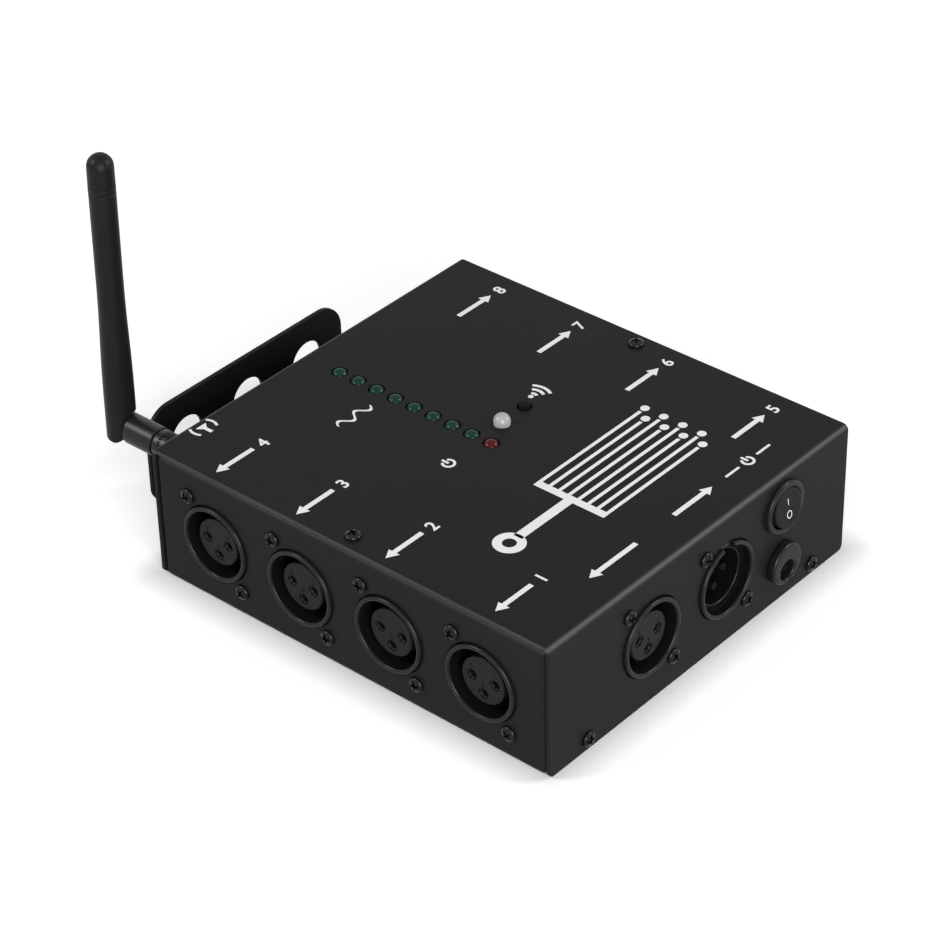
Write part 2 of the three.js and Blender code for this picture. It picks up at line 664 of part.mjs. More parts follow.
function addLamps() {
  lampYs.forEach((y, i) => {
    const name = i === 0 ? 'power_lamp' : `signal_lamp_${i}`;
    splitter.add(named(name, lamp(LAMP).translate(LAMP.x, y, 0), i === 0 ? RED_LENS : GREEN_LENS));
  });
  splitter.add(named('status_lamp', lamp(STATUS).translate(STATUS.x, STATUS.y, 0), MILK_LENS));
}

function addButton() {
  const low = panelBoardTop + GAP.seat;
  const top = low + BUTTON.bodyHeight;
  const half = BUTTON.bodySize / 2;
  const floor = top - BUTTON.overlap - BUTTON.travel - GAP.running;
  const well = bar(BUTTON.well, floor, top + GAP.overrun, SIDES.small);
  const body = carve(block([-half, -half, low], [half, half, top]), { cut: [well] });
  const tip = CASE.height + BUTTON.proud;
  const cap = turned([
    [0, top - BUTTON.overlap], [BUTTON.radius, top - BUTTON.overlap], [BUTTON.radius, tip - BUTTON.round],
    [BUTTON.radius - BUTTON.round, tip], [0, tip],
  ], SIDES.medium);
  splitter.add(named('link_button_switch', body.translate(BUTTON.x, BUTTON.y, 0), DARK_PLASTIC));
  splitter.add(named('link_button_cap', cap.translate(BUTTON.x, BUTTON.y, 0), BLACK_PLASTIC));
}

// Antenna, drawn from the rear face outward and then turned to face the rear

function onRear(geometry) {
  return facingRear(geometry).translate(antennaX, halfDepth, antennaHeight);
}

const couplingEnd = ANTENNA.couplingStart + ANTENNA.couplingLength;
const barrelStart = couplingEnd + GAP.running;
const barrelEnd = ANTENNA.hinge - ANTENNA.knuckle - GAP.running;

function bulkhead() {
  const front = -CASE.sheet - GAP.seat;
  const back = front - ANTENNA.insideThick;
  const end = back - ANTENNA.tailLength;
  const body = turned([
    [0, end], [ANTENNA.tail, end], [ANTENNA.tail, back], [ANTENNA.insideFlange, back],
    [ANTENNA.insideFlange, front], [ANTENNA.thread, front], [ANTENNA.thread, ANTENNA.threadLength],
    [0, ANTENNA.threadLength],
  ], SIDES.medium);
  const over = ANTENNA.threadLength + GAP.overrun;
  const bore = bar(ANTENNA.core, ANTENNA.threadLength - ANTENNA.coreDepth, over, SIDES.small);
  return carve(body, { cut: [bore] });
}

function bulkheadNut() {
  const nut = bar(ANTENNA.hexNut, GAP.seat, GAP.seat + ANTENNA.hexThick, HEX_SIDES);
  const bore = bar(ANTENNA.thread + GAP.running, -GAP.overrun, ANTENNA.hexThick + GAP.overrun, SIDES.medium);
  return carve(nut, { cut: [bore] });
}

// Knurled nut: ridges over its near part and a plain collar at its far end
function couplingNut() {
  const shape = new THREE.Shape();
  for (let i = 0; i < 2 * SIDES.knurl; i += 1) {
    const radius = ANTENNA.coupling - (i % 2) * ANTENNA.knurlDepth;
    const angle = (i / SIDES.knurl) * Math.PI;
    const spot = [radius * Math.cos(angle), radius * Math.sin(angle)];
    if (i === 0) shape.moveTo(...spot);
    else shape.lineTo(...spot);
  }
  shape.closePath();
  const collarStart = couplingEnd - ANTENNA.knurlStart;
  const ridged = slab(shape, ANTENNA.couplingStart, collarStart + GAP.overrun);
  const collar = bar(ANTENNA.coupling, collarStart, couplingEnd, SIDES.knurl);
  const lipStart = couplingEnd - ANTENNA.lipThick;
  const cut = [
    bar(ANTENNA.thread + GAP.running, 0, lipStart, SIDES.medium),
    bar(ANTENNA.lip, 0, couplingEnd + GAP.overrun, SIDES.medium),
  ];
  return carve(ridged, { join: [collar], cut });
}

// What the lap joint keeps of a bar: everything on one side of the hinge, and an eye about it on the other
function lapMask(height, straight) {
  const wide = ANTENNA.knuckle;
  const eye = facingRight(bar(wide, -wide, wide, SIDES.medium)).translate(0, 0, height);
  const ends = [height, height + straight].sort((a, b) => a - b);
  return carve(block([-wide, -wide, ends[0]], [wide, wide, ends[1]]), { join: [eye] });
}

// Barrel with its captive tail and, at the far end, the right half of the hinge lap
function antennaBarrel() {
  const tailStart = ANTENNA.threadLength + GAP.running;
  const flangeEnd = tailStart + ANTENNA.tailFlangeThick;
  const round = ANTENNA.barrelRound;
  const wide = ANTENNA.knuckle;
  const end = ANTENNA.hinge + wide;
  const body = turned([
    [0, tailStart], [ANTENNA.tailFlange, tailStart], [ANTENNA.tailFlange, flangeEnd],
    [ANTENNA.neck, flangeEnd], [ANTENNA.neck, barrelStart], [ANTENNA.barrel - round, barrelStart],
    [ANTENNA.barrel, barrelStart + round], [ANTENNA.barrel, end], [0, end],
  ], SIDES.medium);
  const away = block([-wide, -wide, barrelEnd], [ANTENNA.lapGap, wide, end + GAP.overrun]);
  return carve(body, { cut: [away, hingeBore(ANTENNA.hinge)], keep: [lapMask(ANTENNA.hinge, -end)] });
}

function hingeBore(height) {
  const radius = ANTENNA.pin + GAP.running;
  const reach = ANTENNA.knuckle + GAP.overrun;
  return facingRight(bar(radius, -reach, reach, SIDES.screw)).translate(0, 0, height);
}

function hingePin() {
  const reach = ANTENNA.barrel - ANTENNA.pinInset;
  return facingRight(bar(ANTENNA.pin, -reach, reach, SIDES.screw)).translate(0, 0, ANTENNA.hinge);
}

// Whip drawn upright about its hinge: the left half of the lap below, a tapered sleeve above
function antennaWhip() {
  const seam = whipSeam;
  const wide = ANTENNA.knuckle;
  const end = seam + WHIP.spigotLength;
  const body = turned([
    [0, -wide], [WHIP.base, -wide], [WHIP.base, WHIP.baseRise], [WHIP.middle, WHIP.middleRise],
    [WHIP.top, seam], [WHIP.spigot, seam], [WHIP.spigot, end], [0, end],
  ], SIDES.medium);
  const away = block([-ANTENNA.lapGap, -wide, -wide - GAP.overrun], [wide, wide, WHIP.shoulder]);
  return carve(body, { cut: [away, hingeBore(0)], keep: [lapMask(0, end)] });
}

function whipCap() {
  const low = whipSeam + GAP.seat;
  const profile = [[0, low], [WHIP.capEdge, low], ...dome(WHIP.capTop, WHIP.topRise, DOME_RINGS.cap)];
  const top = whipSeam + WHIP.spigotLength + GAP.running;
  const socket = bar(WHIP.spigot + GAP.running, whipSeam - GAP.overrun, top, SIDES.medium);
  return carve(turned(profile, SIDES.medium), { cut: [socket] });
}

// Thin lead from the bulkhead's tail, along the aisle behind the indicator board, to the radio module
function antennaLead() {
  const tailEnd = halfDepth - CASE.sheet - GAP.seat - ANTENNA.insideThick - ANTENNA.tailLength;
  const startY = tailEnd - GAP.running;
  const aisle = panelBoardRear + LEAD.aisle;
  const moduleX = RADIO.left + RADIO.width / 2;
  const moduleRear = panelBoardRear - RADIO.rearInset + GAP.running;
  const moduleZ = panelBoardTop + GAP.seat + RADIO.height / 2;
  const low = antennaHeight;
  const b = LEAD.bend;
  const points = [
    [antennaX, startY, low],
    [antennaX, startY - b / 3, low],
    [antennaX + b / 4, aisle + b / 4, low],
    [antennaX + b, aisle, low],
    [PANEL_BOARD.left - LEAD.slope, aisle, (low + moduleZ) / 2],
    [PANEL_BOARD.left, aisle, moduleZ],
    [moduleX - b, aisle, moduleZ],
    [moduleX - b / 4, aisle - b / 4, moduleZ],
    [moduleX, aisle - b, moduleZ],
    [moduleX, moduleRear, moduleZ],
  ];
  const spots = points.map((spot) => new THREE.Vector3(...spot));
  const path = new THREE.CatmullRomCurve3(spots, false, 'centripetal');
  const section = new THREE.Shape();
  for (let i = 0; i < SIDES.lead; i += 1) {
    const angle = (i / SIDES.lead) * 2 * Math.PI;
    const spot = [LEAD.radius * Math.cos(angle), LEAD.radius * Math.sin(angle)];
    if (i === 0) section.moveTo(...spot);
    else section.lineTo(...spot);
  }
  section.closePath();
  return new THREE.ExtrudeGeometry(section, { steps: LEAD.steps, extrudePath: path, curveSegments: 1 });
}

function addAntenna() {
  splitter.add(named('antenna_bulkhead', onRear(bulkhead()), BRASS));
  splitter.add(named('antenna_bulkhead_nut', onRear(bulkheadNut()), BRASS));
  splitter.add(named('antenna_coupling_nut', onRear(couplingNut()), BLACK_STEEL));
  splitter.add(named('antenna_barrel', onRear(antennaBarrel()), BLACK_PLASTIC));
  splitter.add(named('antenna_hinge_pin', onRear(hingePin()), PLATED));
  const hinge = [antennaX, halfDepth + ANTENNA.hinge, antennaHeight];
  const lean = THREE.MathUtils.degToRad(WHIP.lean);
  splitter.add(named('antenna_whip', antennaWhip().rotateX(lean).translate(...hinge), RUBBER));
  splitter.add(named('antenna_whip_cap', whipCap().rotateX(lean).translate(...hinge), RUBBER));
  splitter.add(named('antenna_lead', antennaLead(), DARK_PLASTIC));
}

// Hanging bracket: inner leg on the rear panel, floor, and outer leg with the clamp holes

function hangingBracket() {
  const t = BRACKET.sheet;
  const f = BRACKET.fold;
  const near = halfDepth + GAP.seat;
  const far = halfDepth + BRACKET.depth;
  const half = BRACKET.widthShare * CASE.width / 2;
  const shape = new THREE.Shape();
  shape.moveTo(near, BRACKET.innerHeight);
  shape.absarc(near + f, f, f, Math.PI, 1.5 * Math.PI, false);
  shape.absarc(far - f, f, f, 1.5 * Math.PI, 2 * Math.PI, false);
  shape.lineTo(far, BRACKET.height);
  shape.lineTo(far - t, BRACKET.height);
  shape.absarc(far - f, f, f - t, 2 * Math.PI, 1.5 * Math.PI, true);
  shape.absarc(near + f, f, f - t, 1.5 * Math.PI, Math.PI, true);
  shape.lineTo(near + t, BRACKET.innerHeight);
  shape.closePath();
  const channel = alongX(slab(shape, -half, half));
  const middle = (near + far) / 2;
  const corner = BRACKET.corner;
  const outerEdge = outline(-half, half, -BRACKET.height, 0, 0, corner, SIDES.corner);
  const outerView = facingRear(slab(outerEdge, middle, far + t));
  const innerEdge = outline(-half, half, -BRACKET.innerHeight, 0, 0, corner, SIDES.corner);
  const innerView = facingRear(slab(innerEdge, near - t, middle));
  const mask = carve(outerView, { join: [innerView] });
  const cut = [-1, 0, 1].map((side) => facingRear(bar(BRACKET.hole, middle, far + t, SIDES.large))
    .translate(side * BRACKET.pitch, 0, BRACKET.holeHeight));
  for (const side of [-1, 1]) {
    const hole = facingRear(bar(largeHole, near - t, middle, SIDES.small));
    cut.push(hole.translate(side * BRACKET.pitch, 0, BRACKET.holeHeight));
  }
  return carve(channel, { cut, keep: [mask] });
}

function addBracket() {
  splitter.add(named('hanging_bracket', hangingBracket(), BLACK_COAT));
  for (const [side, label] of [[-1, 'left'], [1, 'right']]) {
    const screw = facingRear(panScrew(LARGE_SCREW));
    screw.translate(side * BRACKET.pitch, halfDepth + BRACKET.sheet + 2 * GAP.seat, BRACKET.holeHeight);
    splitter.add(named(`bracket_screw_${label}`, screw, BLACK_STEEL));
  }
}

addCase();
addConnectors();
addPowerInlet();
addBoards();
addLamps();
addButton();
addAntenna();
addBracket();

export default splitter;
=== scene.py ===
# %% [markdown]
# A splitter box for stage-lighting data: a folded steel case, ten round connectors, a row of lamps,
# a rocker switch, a power jack, a hinged antenna and a hanging bracket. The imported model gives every
# piece its place and size in metres. Here the faceted solids get fine surfaces and real finishes.

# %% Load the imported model
import json
import math
import bmesh
import bpy
from mathutils import Matrix, Vector
from mathutils.geometry import tessellate_polygon

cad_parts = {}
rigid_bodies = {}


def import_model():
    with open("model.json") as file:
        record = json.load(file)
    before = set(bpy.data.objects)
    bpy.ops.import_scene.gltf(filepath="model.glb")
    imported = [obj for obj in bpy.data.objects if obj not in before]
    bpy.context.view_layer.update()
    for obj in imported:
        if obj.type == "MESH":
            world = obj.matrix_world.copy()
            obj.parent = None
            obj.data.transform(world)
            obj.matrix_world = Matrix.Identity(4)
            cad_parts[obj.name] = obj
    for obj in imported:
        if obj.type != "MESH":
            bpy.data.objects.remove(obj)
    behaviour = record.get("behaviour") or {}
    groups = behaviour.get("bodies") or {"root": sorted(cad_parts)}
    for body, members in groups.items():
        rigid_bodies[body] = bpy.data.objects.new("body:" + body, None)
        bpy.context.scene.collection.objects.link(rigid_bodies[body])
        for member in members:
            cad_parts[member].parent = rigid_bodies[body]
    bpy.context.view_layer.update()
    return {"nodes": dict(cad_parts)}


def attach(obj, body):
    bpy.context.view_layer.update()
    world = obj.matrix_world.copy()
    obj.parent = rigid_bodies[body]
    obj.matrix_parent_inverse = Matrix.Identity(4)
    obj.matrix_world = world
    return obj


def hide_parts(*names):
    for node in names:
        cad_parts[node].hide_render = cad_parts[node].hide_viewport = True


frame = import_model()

MM = 0.001
WIDTH, DEPTH, HEIGHT = 130, 142, 42.5
HALF_W, HALF_D = WIDTH / 2, DEPTH / 2
QUARTER = math.pi / 2

# %% [markdown]
# The camera stands where the photographer's stood. Its place was worked out from the corners of the
# case and the centres of the connectors, so the render can be laid over the photograph.

# %% Camera
camera_place = (-0.55337, -0.47767, 0.54218)
camera_right = Vector((0.65296, -0.75712, -0.0202))
camera_look = Vector((0.61386, 0.54465, -0.57144))
camera_up = camera_right.cross(camera_look)
camera_turn = Matrix((camera_right, camera_up, -camera_look)).transposed()
camera = bpy.data.objects.new("camera", bpy.data.cameras.new("camera"))
camera.data.lens = 124.345
camera.data.sensor_width = 36
camera.data.clip_end = 50
camera.matrix_world = Matrix.Translation(camera_place) @ camera_turn.to_4x4()
bpy.context.scene.collection.objects.link(camera)
bpy.context.scene.camera = camera
bpy.context.scene.view_settings.view_transform = "Standard"

# %% [markdown]
# Every finish starts from a colour as a designer writes it, in hex. Shaders work in linear light, so
# one function converts it. Another adds a node with its settings and links, and the rest are the few
# steps that most finishes take, which keeps a material short enough to read in one go.

# %% Colour and node helpers


def linear(code):
    shares = [int(code[i:i + 2], 16) / 255 for i in (1, 3, 5)]
    return [s / 12.92 if s <= 0.04045 else ((s + 0.055) / 1.055) ** 2.4 for s in shares] + [1]


def add(tree, kind, inputs=None, **settings):
    node = tree.nodes.new(kind)
    for name, value in settings.items():
        setattr(node, name, value)
    for name, value in (inputs or {}).items():
        if isinstance(value, bpy.types.NodeSocket):
            tree.links.new(value, node.inputs[name])
        else:
            node.inputs[name].default_value = value
    return node


def surface(name, color, **shader):
    made = bpy.data.materials.new(name)
    made.use_nodes = True
    tree = made.node_tree
    tree.nodes.clear()
    values = {key.replace("_", " "): value for key, value in shader.items()}
    body = add(tree, "ShaderNodeBsdfPrincipled", {"Base Color": linear(color), **values})
    add(tree, "ShaderNodeOutputMaterial", {"Surface": body.outputs[0]})
    place = add(tree, "ShaderNodeTexCoord").outputs["Object"]
    return made, tree, body, place


def noise(tree, place, grain_mm, detail):
    scale = 1 / (grain_mm * MM)
    return add(tree, "ShaderNodeTexNoise", {"Vector": place, "Scale": scale, "Detail": detail}).outputs[0]


def ranged(tree, value, before, after):
    limits = zip(("From Min", "From Max", "To Min", "To Max"), (*before, *after))
    return add(tree, "ShaderNodeMapRange", {"Value": value, **dict(limits)}).outputs[0]


def maths(tree, operation, *values):
    return add(tree, "ShaderNodeMath", dict(enumerate(values)), operation=operation).outputs[0]


def blended(tree, factor, first, second):
    return add(tree, "ShaderNodeMix", {"Factor": factor, 6: first, 7: second}, data_type="RGBA").outputs[2]


def roughened(tree, body, pattern, span, roughness, change):
    spread = ranged(tree, pattern, span, (roughness - change, roughness + change))
    tree.links.new(spread, body.inputs["Roughness"])


def bumped(tree, body, pattern, strength, depth_mm):
    bump = add(tree, "ShaderNodeBump", {"Height": pattern, "Strength": strength, "Distance": depth_mm * MM})
    tree.links.new(bump.outputs[0], body.inputs["Normal"])


# %% [markdown]
# Powder coat is plastic powder that is melted onto the steel. It levels out into a matt skin with
# grains of about 0.4 mm, too shallow to see one by one, but they spread every highlight. Two noises
# do that: a fine one bumps the skin, and a broad, faint one shifts the roughness, as hands and
# handling do. A number that each sheet keeps for its bends and cut edges turns the coat a little
# lighter along them: a painted highlight along the bends and edges.

# %% Powder coat
GRAIN_MM, HANDLING_MM = 0.4, 24
# The colour of the painted highlight along bends and cut edges.
PAINTED_HIGHLIGHT = "#565656"


def powder_coat(name, color, roughness):
    made, tree, body, place = surface(name, color, Specular_IOR_Level=0.05)
    bumped(tree, body, noise(tree, place, GRAIN_MM, 2), 0.12, 0.03)
    cloud, middle = noise(tree, place, HANDLING_MM, 3), (0.3, 0.7)
    roughened(tree, body, cloud, middle, roughness, 0.04)
    darker, lighter = ([share * by for share in linear(color)[:3]] + [1] for by in (0.93, 1.07))
    # Painted highlight: the coat turns to the highlight colour along bends and cut edges, a little less where
    # the handling noise is low.
    highlight_share = add(tree, "ShaderNodeAttribute", attribute_name="edge_highlight").outputs["Fac"]
    edge_highlight = maths(tree, "MULTIPLY", highlight_share, ranged(tree, cloud, middle, (0.75, 1)))
    shown = blended(tree, edge_highlight, blended(tree, cloud, darker, lighter), linear(PAINTED_HIGHLIGHT))
    tree.links.new(shown, body.inputs["Base Color"])
    return made


coat = powder_coat("matt_black_powder_coat", "#1d1d1d", 0.34)
print("made", coat.name)

# %% [markdown]
# The connectors, the switch and the jack are moulded in black nylon. A mould leaves an even, silky
# skin: smoother than the case, with a faint spark-eroded grain. Deep in the mouths the grain is
# coarse and matt, and the nylon there is coloured darker: a painted shade for the recess. The
# antenna's sleeve is a softer plastic, with a wide and low highlight.

# %% Moulded plastics


def moulded(name, color, roughness, specular, grain_mm=0.25):
    made, tree, body, place = surface(name, color, Specular_IOR_Level=specular)
    grain = noise(tree, place, grain_mm, 1)
    bumped(tree, body, grain, 0.1, 0.012)
    roughened(tree, body, grain, (0.2, 0.8), roughness, 0.05)
    return made


nylon = moulded("moulded_black_nylon", "#181819", 0.24, 0.2)
# The mouth's inside is coloured darker than the nylon outside: painted shade for the recess. Its higher
# roughness is its own matt grain.
shaded_mouth_nylon = moulded("mouth_nylon_matt_painted_shade", "#0d0d0d", 0.55, 0.05)
rocker_nylon = moulded("moulded_rocker_nylon", "#181818", 0.3, 0.1)
insert_nylon = moulded("moulded_insert_nylon", "#1c1c1d", 0.34, 0.1)
sleeve = moulded("antenna_sleeve_elastomer", "#161617", 0.38, 0.12, grain_mm=0.35)
hinge_plastic = moulded("antenna_barrel_plastic", "#1b1b1c", 0.28, 0.22)
button_rubber = moulded("button_black_rubber", "#161617", 0.5, 0.04)
board_mask = moulded("circuit_board_solder_mask", "#1d5a38", 0.35, 0.5)
print("made", nylon.name, insert_nylon.name, sleeve.name, hinge_plastic.name, board_mask.name)

# %% [markdown]
# Metals. The screws and the knurled nut are steel with a black oxide skin, which is thin, so edges
# still glint. Contacts are silver plated, but here they are coloured nearly black, a painted shade
# for the holes and the mouth they sit in, so only the polished lips glint. The antenna's bulkhead
# is brass with a thin gold plate.
# A turned or plated metal keeps fine tool marks, drawn here as a stretched noise in the roughness.

# %% Metals
MARK_MM = 0.3


def metal(name, color, roughness, metallic=1.0, specular=0.5):
    made, tree, body, place = surface(name, color, Metallic=metallic, Specular_IOR_Level=specular)
    stretched = add(tree, "ShaderNodeMapping", {"Vector": place, "Scale": (1, 1, 6)}).outputs[0]
    roughened(tree, body, noise(tree, stretched, MARK_MM, 2), (0.25, 0.75), roughness, 0.07)
    return made


oxide = metal("black_oxide_steel", "#252526", 0.15, metallic=0.8)
nut_oxide = metal("blackened_knurled_brass", "#242425", 0.32, metallic=0.5)
# The sleeves are coloured nearly black: painted shade for the holes they sit in. Their lips still glint.
shaded_contact = metal("silver_contact_painted_shade", "#1c1b1a", 0.1, metallic=0.3, specular=0.3)
# The pins are coloured nearly black and dull: painted shade for the mouth they stand in.
shaded_pin = metal("silver_pin_painted_shade", "#121110", 0.4, metallic=0.0, specular=0.08)
gold = metal("gold_plated_brass", "#b8923e", 0.25)
nickel = metal("nickel_plated_steel", "#b9b7b0", 0.24)
print("made", oxide.name, nut_oxide.name, shaded_contact.name, gold.name, nickel.name)

# %% [markdown]
# The lamps are cast in tinted epoxy. Unlit, a tinted lens is dark, with a hard gloss. Its colour
# turns lighter towards the rim where the lens is seen edge-on, broken up by a swirl: a painted
# sheen. The white one is filled with a diffusing powder, so light spreads inside it and it looks
# milky. The ink of the marks is printed through a screen, whose weave leaves a faint pattern in its
# gloss.

# %% Epoxy lenses and ink
SWIRL_MM, WEAVE_MM = 3, 0.2


def sheen_painted_epoxy(name, edge, middle, **shader):
    made, tree, body, place = surface(name, edge, **shader)
    # Painted sheen: the colour turns to the rim colour where the lens is seen edge-on, broken up by the swirl
    # noise.
    facing = add(tree, "ShaderNodeLayerWeight", {"Blend": 0.35}).outputs["Facing"]
    share = maths(tree, "MULTIPLY", noise(tree, place, SWIRL_MM, 1), facing)
    tree.links.new(blended(tree, share, linear(middle), linear(edge)), body.inputs["Base Color"])
    return made


green_epoxy = sheen_painted_epoxy("green_tinted_epoxy", "#0a4030", "#083024", Roughness=0.06, Specular_IOR_Level=0.14)
red_epoxy = sheen_painted_epoxy("red_tinted_epoxy", "#600a14", "#4a0810", Roughness=0.06, Specular_IOR_Level=0.14)
milk_epoxy = sheen_painted_epoxy("milky_diffused_epoxy", "#b4b4b2", "#a2a2a0", Roughness=0.28,
                        Subsurface_Weight=0.25, Subsurface_Scale=1.5 * MM)
ink, ink_tree, ink_body, ink_place = surface("white_screen_ink", "#e9e9e7", Specular_IOR_Level=0.3)
roughened(ink_tree, ink_body, noise(ink_tree, ink_place, WEAVE_MM, 1), (0, 1), 0.525, 0.075)
print("made", green_epoxy.name, red_epoxy.name, milk_epoxy.name, ink.name)

# %% [markdown]
# Shapes are drawn in millimetres. A plate is cut from a flat outline with holes, and its edges are
# eased, because a bare sharp edge never catches light. A turned piece is a profile that goes round an
# axis, with eased corners too.

# %% Plates


def polygon(*spots):
    return [Vector(spot) for spot in spots]


def arc(radius, start, end, steps, x=0, y=0):
    """Points along an arc about x, y, from one angle to another."""
    angles = [start + (end - start) * i / steps for i in range(steps + 1)]
    return [Vector((x + radius * math.cos(a), y + radius * math.sin(a))) for a in angles]


def ring(radius, x=0, y=0, sides=64):
    return arc(radius, 0, 2 * math.pi, sides, x, y)[:-1]


def box_outline(left, right, low, high, upper=0, lower=0, steps=8):
    """A rectangle, with one radius for its two upper corners and one for its two lower ones."""
    corners = [(right - lower, low + lower, lower, 3), (right - upper, high - upper, upper, 0),
               (left + upper, high - upper, upper, 1), (left + lower, low + lower, lower, 2)]
    points = []
    for x, y, radius, quarter in corners:
        turn = arc(radius, quarter * QUARTER, (quarter + 1) * QUARTER, steps, x, y)
        points += turn if radius else turn[:1]
    return points


def turned_round(outline, counterclockwise):
    area = sum(a.x * b.y - b.x * a.y for a, b in zip(outline, outline[1:] + outline[:1]))
    return list(outline) if (area > 0) == counterclockwise else list(reversed(outline))


def moved_left(outline, distance):
    points = []
    for before, here, after in zip(outline[-1:] + outline[:-1], outline, outline[1:] + outline[:1]):
        a, b = (here - before).normalized(), (after - here).normalized()
        side = Vector((-a.y - b.y, a.x + b.x)).normalized()
        points.append(here + side * distance / max(side.dot(Vector((-a.y, a.x))), 0.3))
    return points


def plate(outlines, low, high, ease, steps=3):
    bm = bmesh.new()
    turns = [turned_round(outline, i == 0) for i, outline in enumerate(outlines)]
    curve = [(ease - ease * math.cos(a), ease - ease * math.sin(a))
             for a in (QUARTER * i / steps for i in range(steps + 1))]
    levels = [(low + z, inward) for z, inward in curve]
    levels += [(high - z, inward) for z, inward in reversed(curve)]
    grid = []
    for outline in turns:
        rows = [[bm.verts.new((p.x, p.y, z)) for p in moved_left(outline, inward)] for z, inward in levels]
        for lower, upper in zip(rows, rows[1:]):
            for i in range(len(lower)):
                j = (i + 1) % len(lower)
                bm.faces.new((lower[i], lower[j], upper[j], upper[i]))
        grid.append(rows)
    for row, up in ((0, False), (-1, True)):
        edge = [[v.co.copy() for v in rows[row]] for rows in grid]
        flat = [v for rows in grid for v in rows[row]]
        for corners in tessellate_polygon(edge):
            a, b, c = (flat[i] for i in corners)
            cross = (b.co - a.co).cross(c.co - a.co).z
            if abs(cross) < 1e-9:
                continue
            bm.faces.new((a, b, c) if (cross > 0) == up else (a, c, b))
    return bm


# %% Turned pieces


def eased(profile, steps=4):
    points = []
    for i, spot in enumerate(profile):
        here = Vector(spot[:2])
        ease = spot[2] if len(spot) > 2 else 0
        if not ease or i in (0, len(profile) - 1):
            points.append(here)
            continue
        before, after = Vector(profile[i - 1][:2]) - here, Vector(profile[i + 1][:2]) - here
        reach = min(ease, before.length * 0.48, after.length * 0.48)
        start, end = here + before.normalized() * reach, here + after.normalized() * reach
        for k in range(steps + 1):
            t = k / steps
            points.append(start * (1 - t) ** 2 + here * 2 * t * (1 - t) + end * t ** 2)
    return points


def skinned(bm, rows):
    """Faces between rows of points that go round. A row of one point closes an end."""
    sides = max(len(row) for row in rows)
    for lower, upper in zip(rows, rows[1:]):
        for i in range(sides):
            j = (i + 1) % sides
            loop = [row[k % len(row)] for row, k in ((lower, i), (lower, j), (upper, j), (upper, i))]
            corners = list(dict.fromkeys(loop))
            if len(corners) > 2:
                bm.faces.new(corners)
    bmesh.ops.recalc_face_normals(bm, faces=bm.faces)
    return bm


def turned(profile, sides=72, steps=4):
    bm = bmesh.new()
    rows = []
    for point in eased(profile, steps):
        spots = [Vector((0, 0))] if point.x < 1e-6 else ring(point.x, sides=sides)
        rows.append([bm.verts.new((spot.x, spot.y, point.y)) for spot in spots])
    return skinned(bm, rows)


# %% [markdown]
# A finished piece is one object at the origin with its place in its mesh. Weighted normals keep the
# flats flat next to their eased edges. Cutting one shape out of another is done with a Boolean
# modifier that is used up at once.

# %% Finishing a piece
scene_objects = bpy.context.scene.collection.objects


def baked(thing):
    graph = bpy.context.evaluated_depsgraph_get()
    mesh = bpy.data.meshes.new_from_object(thing.evaluated_get(graph), depsgraph=graph)
    thing.modifiers.clear()
    thing.data = mesh


def loose(bm, name="shape"):
    mesh = bpy.data.meshes.new(name)
    bm.to_mesh(mesh)
    bm.free()
    thing = bpy.data.objects.new(name, mesh)
    scene_objects.link(thing)
    return thing


def joined(bm, *others):
    """One shape made of several. The others are used up."""
    for other in others:
        mesh = bpy.data.meshes.new("joined")
        other.to_mesh(mesh)
        other.free()
        bm.from_mesh(mesh)
        bpy.data.meshes.remove(mesh)
    return bm


def combined(bm, other, operation):
    base, tool = loose(bm), loose(other)
    change = base.modifiers.new("change", "BOOLEAN")
    change.object, change.operation, change.solver = tool, operation, "EXACT"
    baked(base)
    result = bmesh.new()
    result.from_mesh(base.data)
    for thing in (base, tool):
        bpy.data.objects.remove(thing)
    return result


def piece(name, bm, finish, place=Matrix(), body="case", stands_for=(), slot=None, sharp=35):
    bm.transform(Matrix.Scale(MM, 4) @ place)
    thing = loose(bm, name)
    for material in finish if isinstance(finish, tuple) else (finish,):
        thing.data.materials.append(material)
    thing.data.shade_smooth()
    thing.data.set_sharp_from_angle(angle=math.radians(sharp))
    weigh = thing.modifiers.new("weigh", "WEIGHTED_NORMAL")
    weigh.keep_sharp = True
    weigh.weight = 100
    baked(thing)
    thing.data.name = name
    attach(thing, body)
    if stands_for:
        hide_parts(*stands_for)
    return thing


def facing_front(x, z, y=-HALF_D, turn=0):
    upright = Matrix.Rotation(turn, 4, "Z") @ Matrix.Rotation(QUARTER, 4, "X")
    return Matrix.Translation((x, y, z)) @ upright


def facing_rear(x, z):
    return Matrix.Translation((x, HALF_D, z)) @ Matrix.Rotation(-QUARTER, 4, "X")


# %% [markdown]
# The case is real sheet metal, so it is made the way a workshop makes it: a flat blank with all its
# holes is cut first, then folded over a bending bar. A point of the blank is known by how far along
# the sheet it lies and how deep in its thickness. Walking along the path of the outer face tells
# where it ends up.

# %% Folding
FOLD_STEPS = 8
# How strong the painted highlight is on the cover's bends, its cut edges and the chassis' bends, and how fast
# it falls off across a bend.
HIGHLIGHT_FALLOFF = 2.6
COVER_HIGHLIGHT, CUT_HIGHLIGHT, CHASSIS_HIGHLIGHT = 0.9, 0.45, 0.25


def ahead(angle):
    return Vector((math.cos(angle), math.sin(angle)))


def into_sheet(angle):
    return Vector((math.sin(angle), -math.cos(angle)))


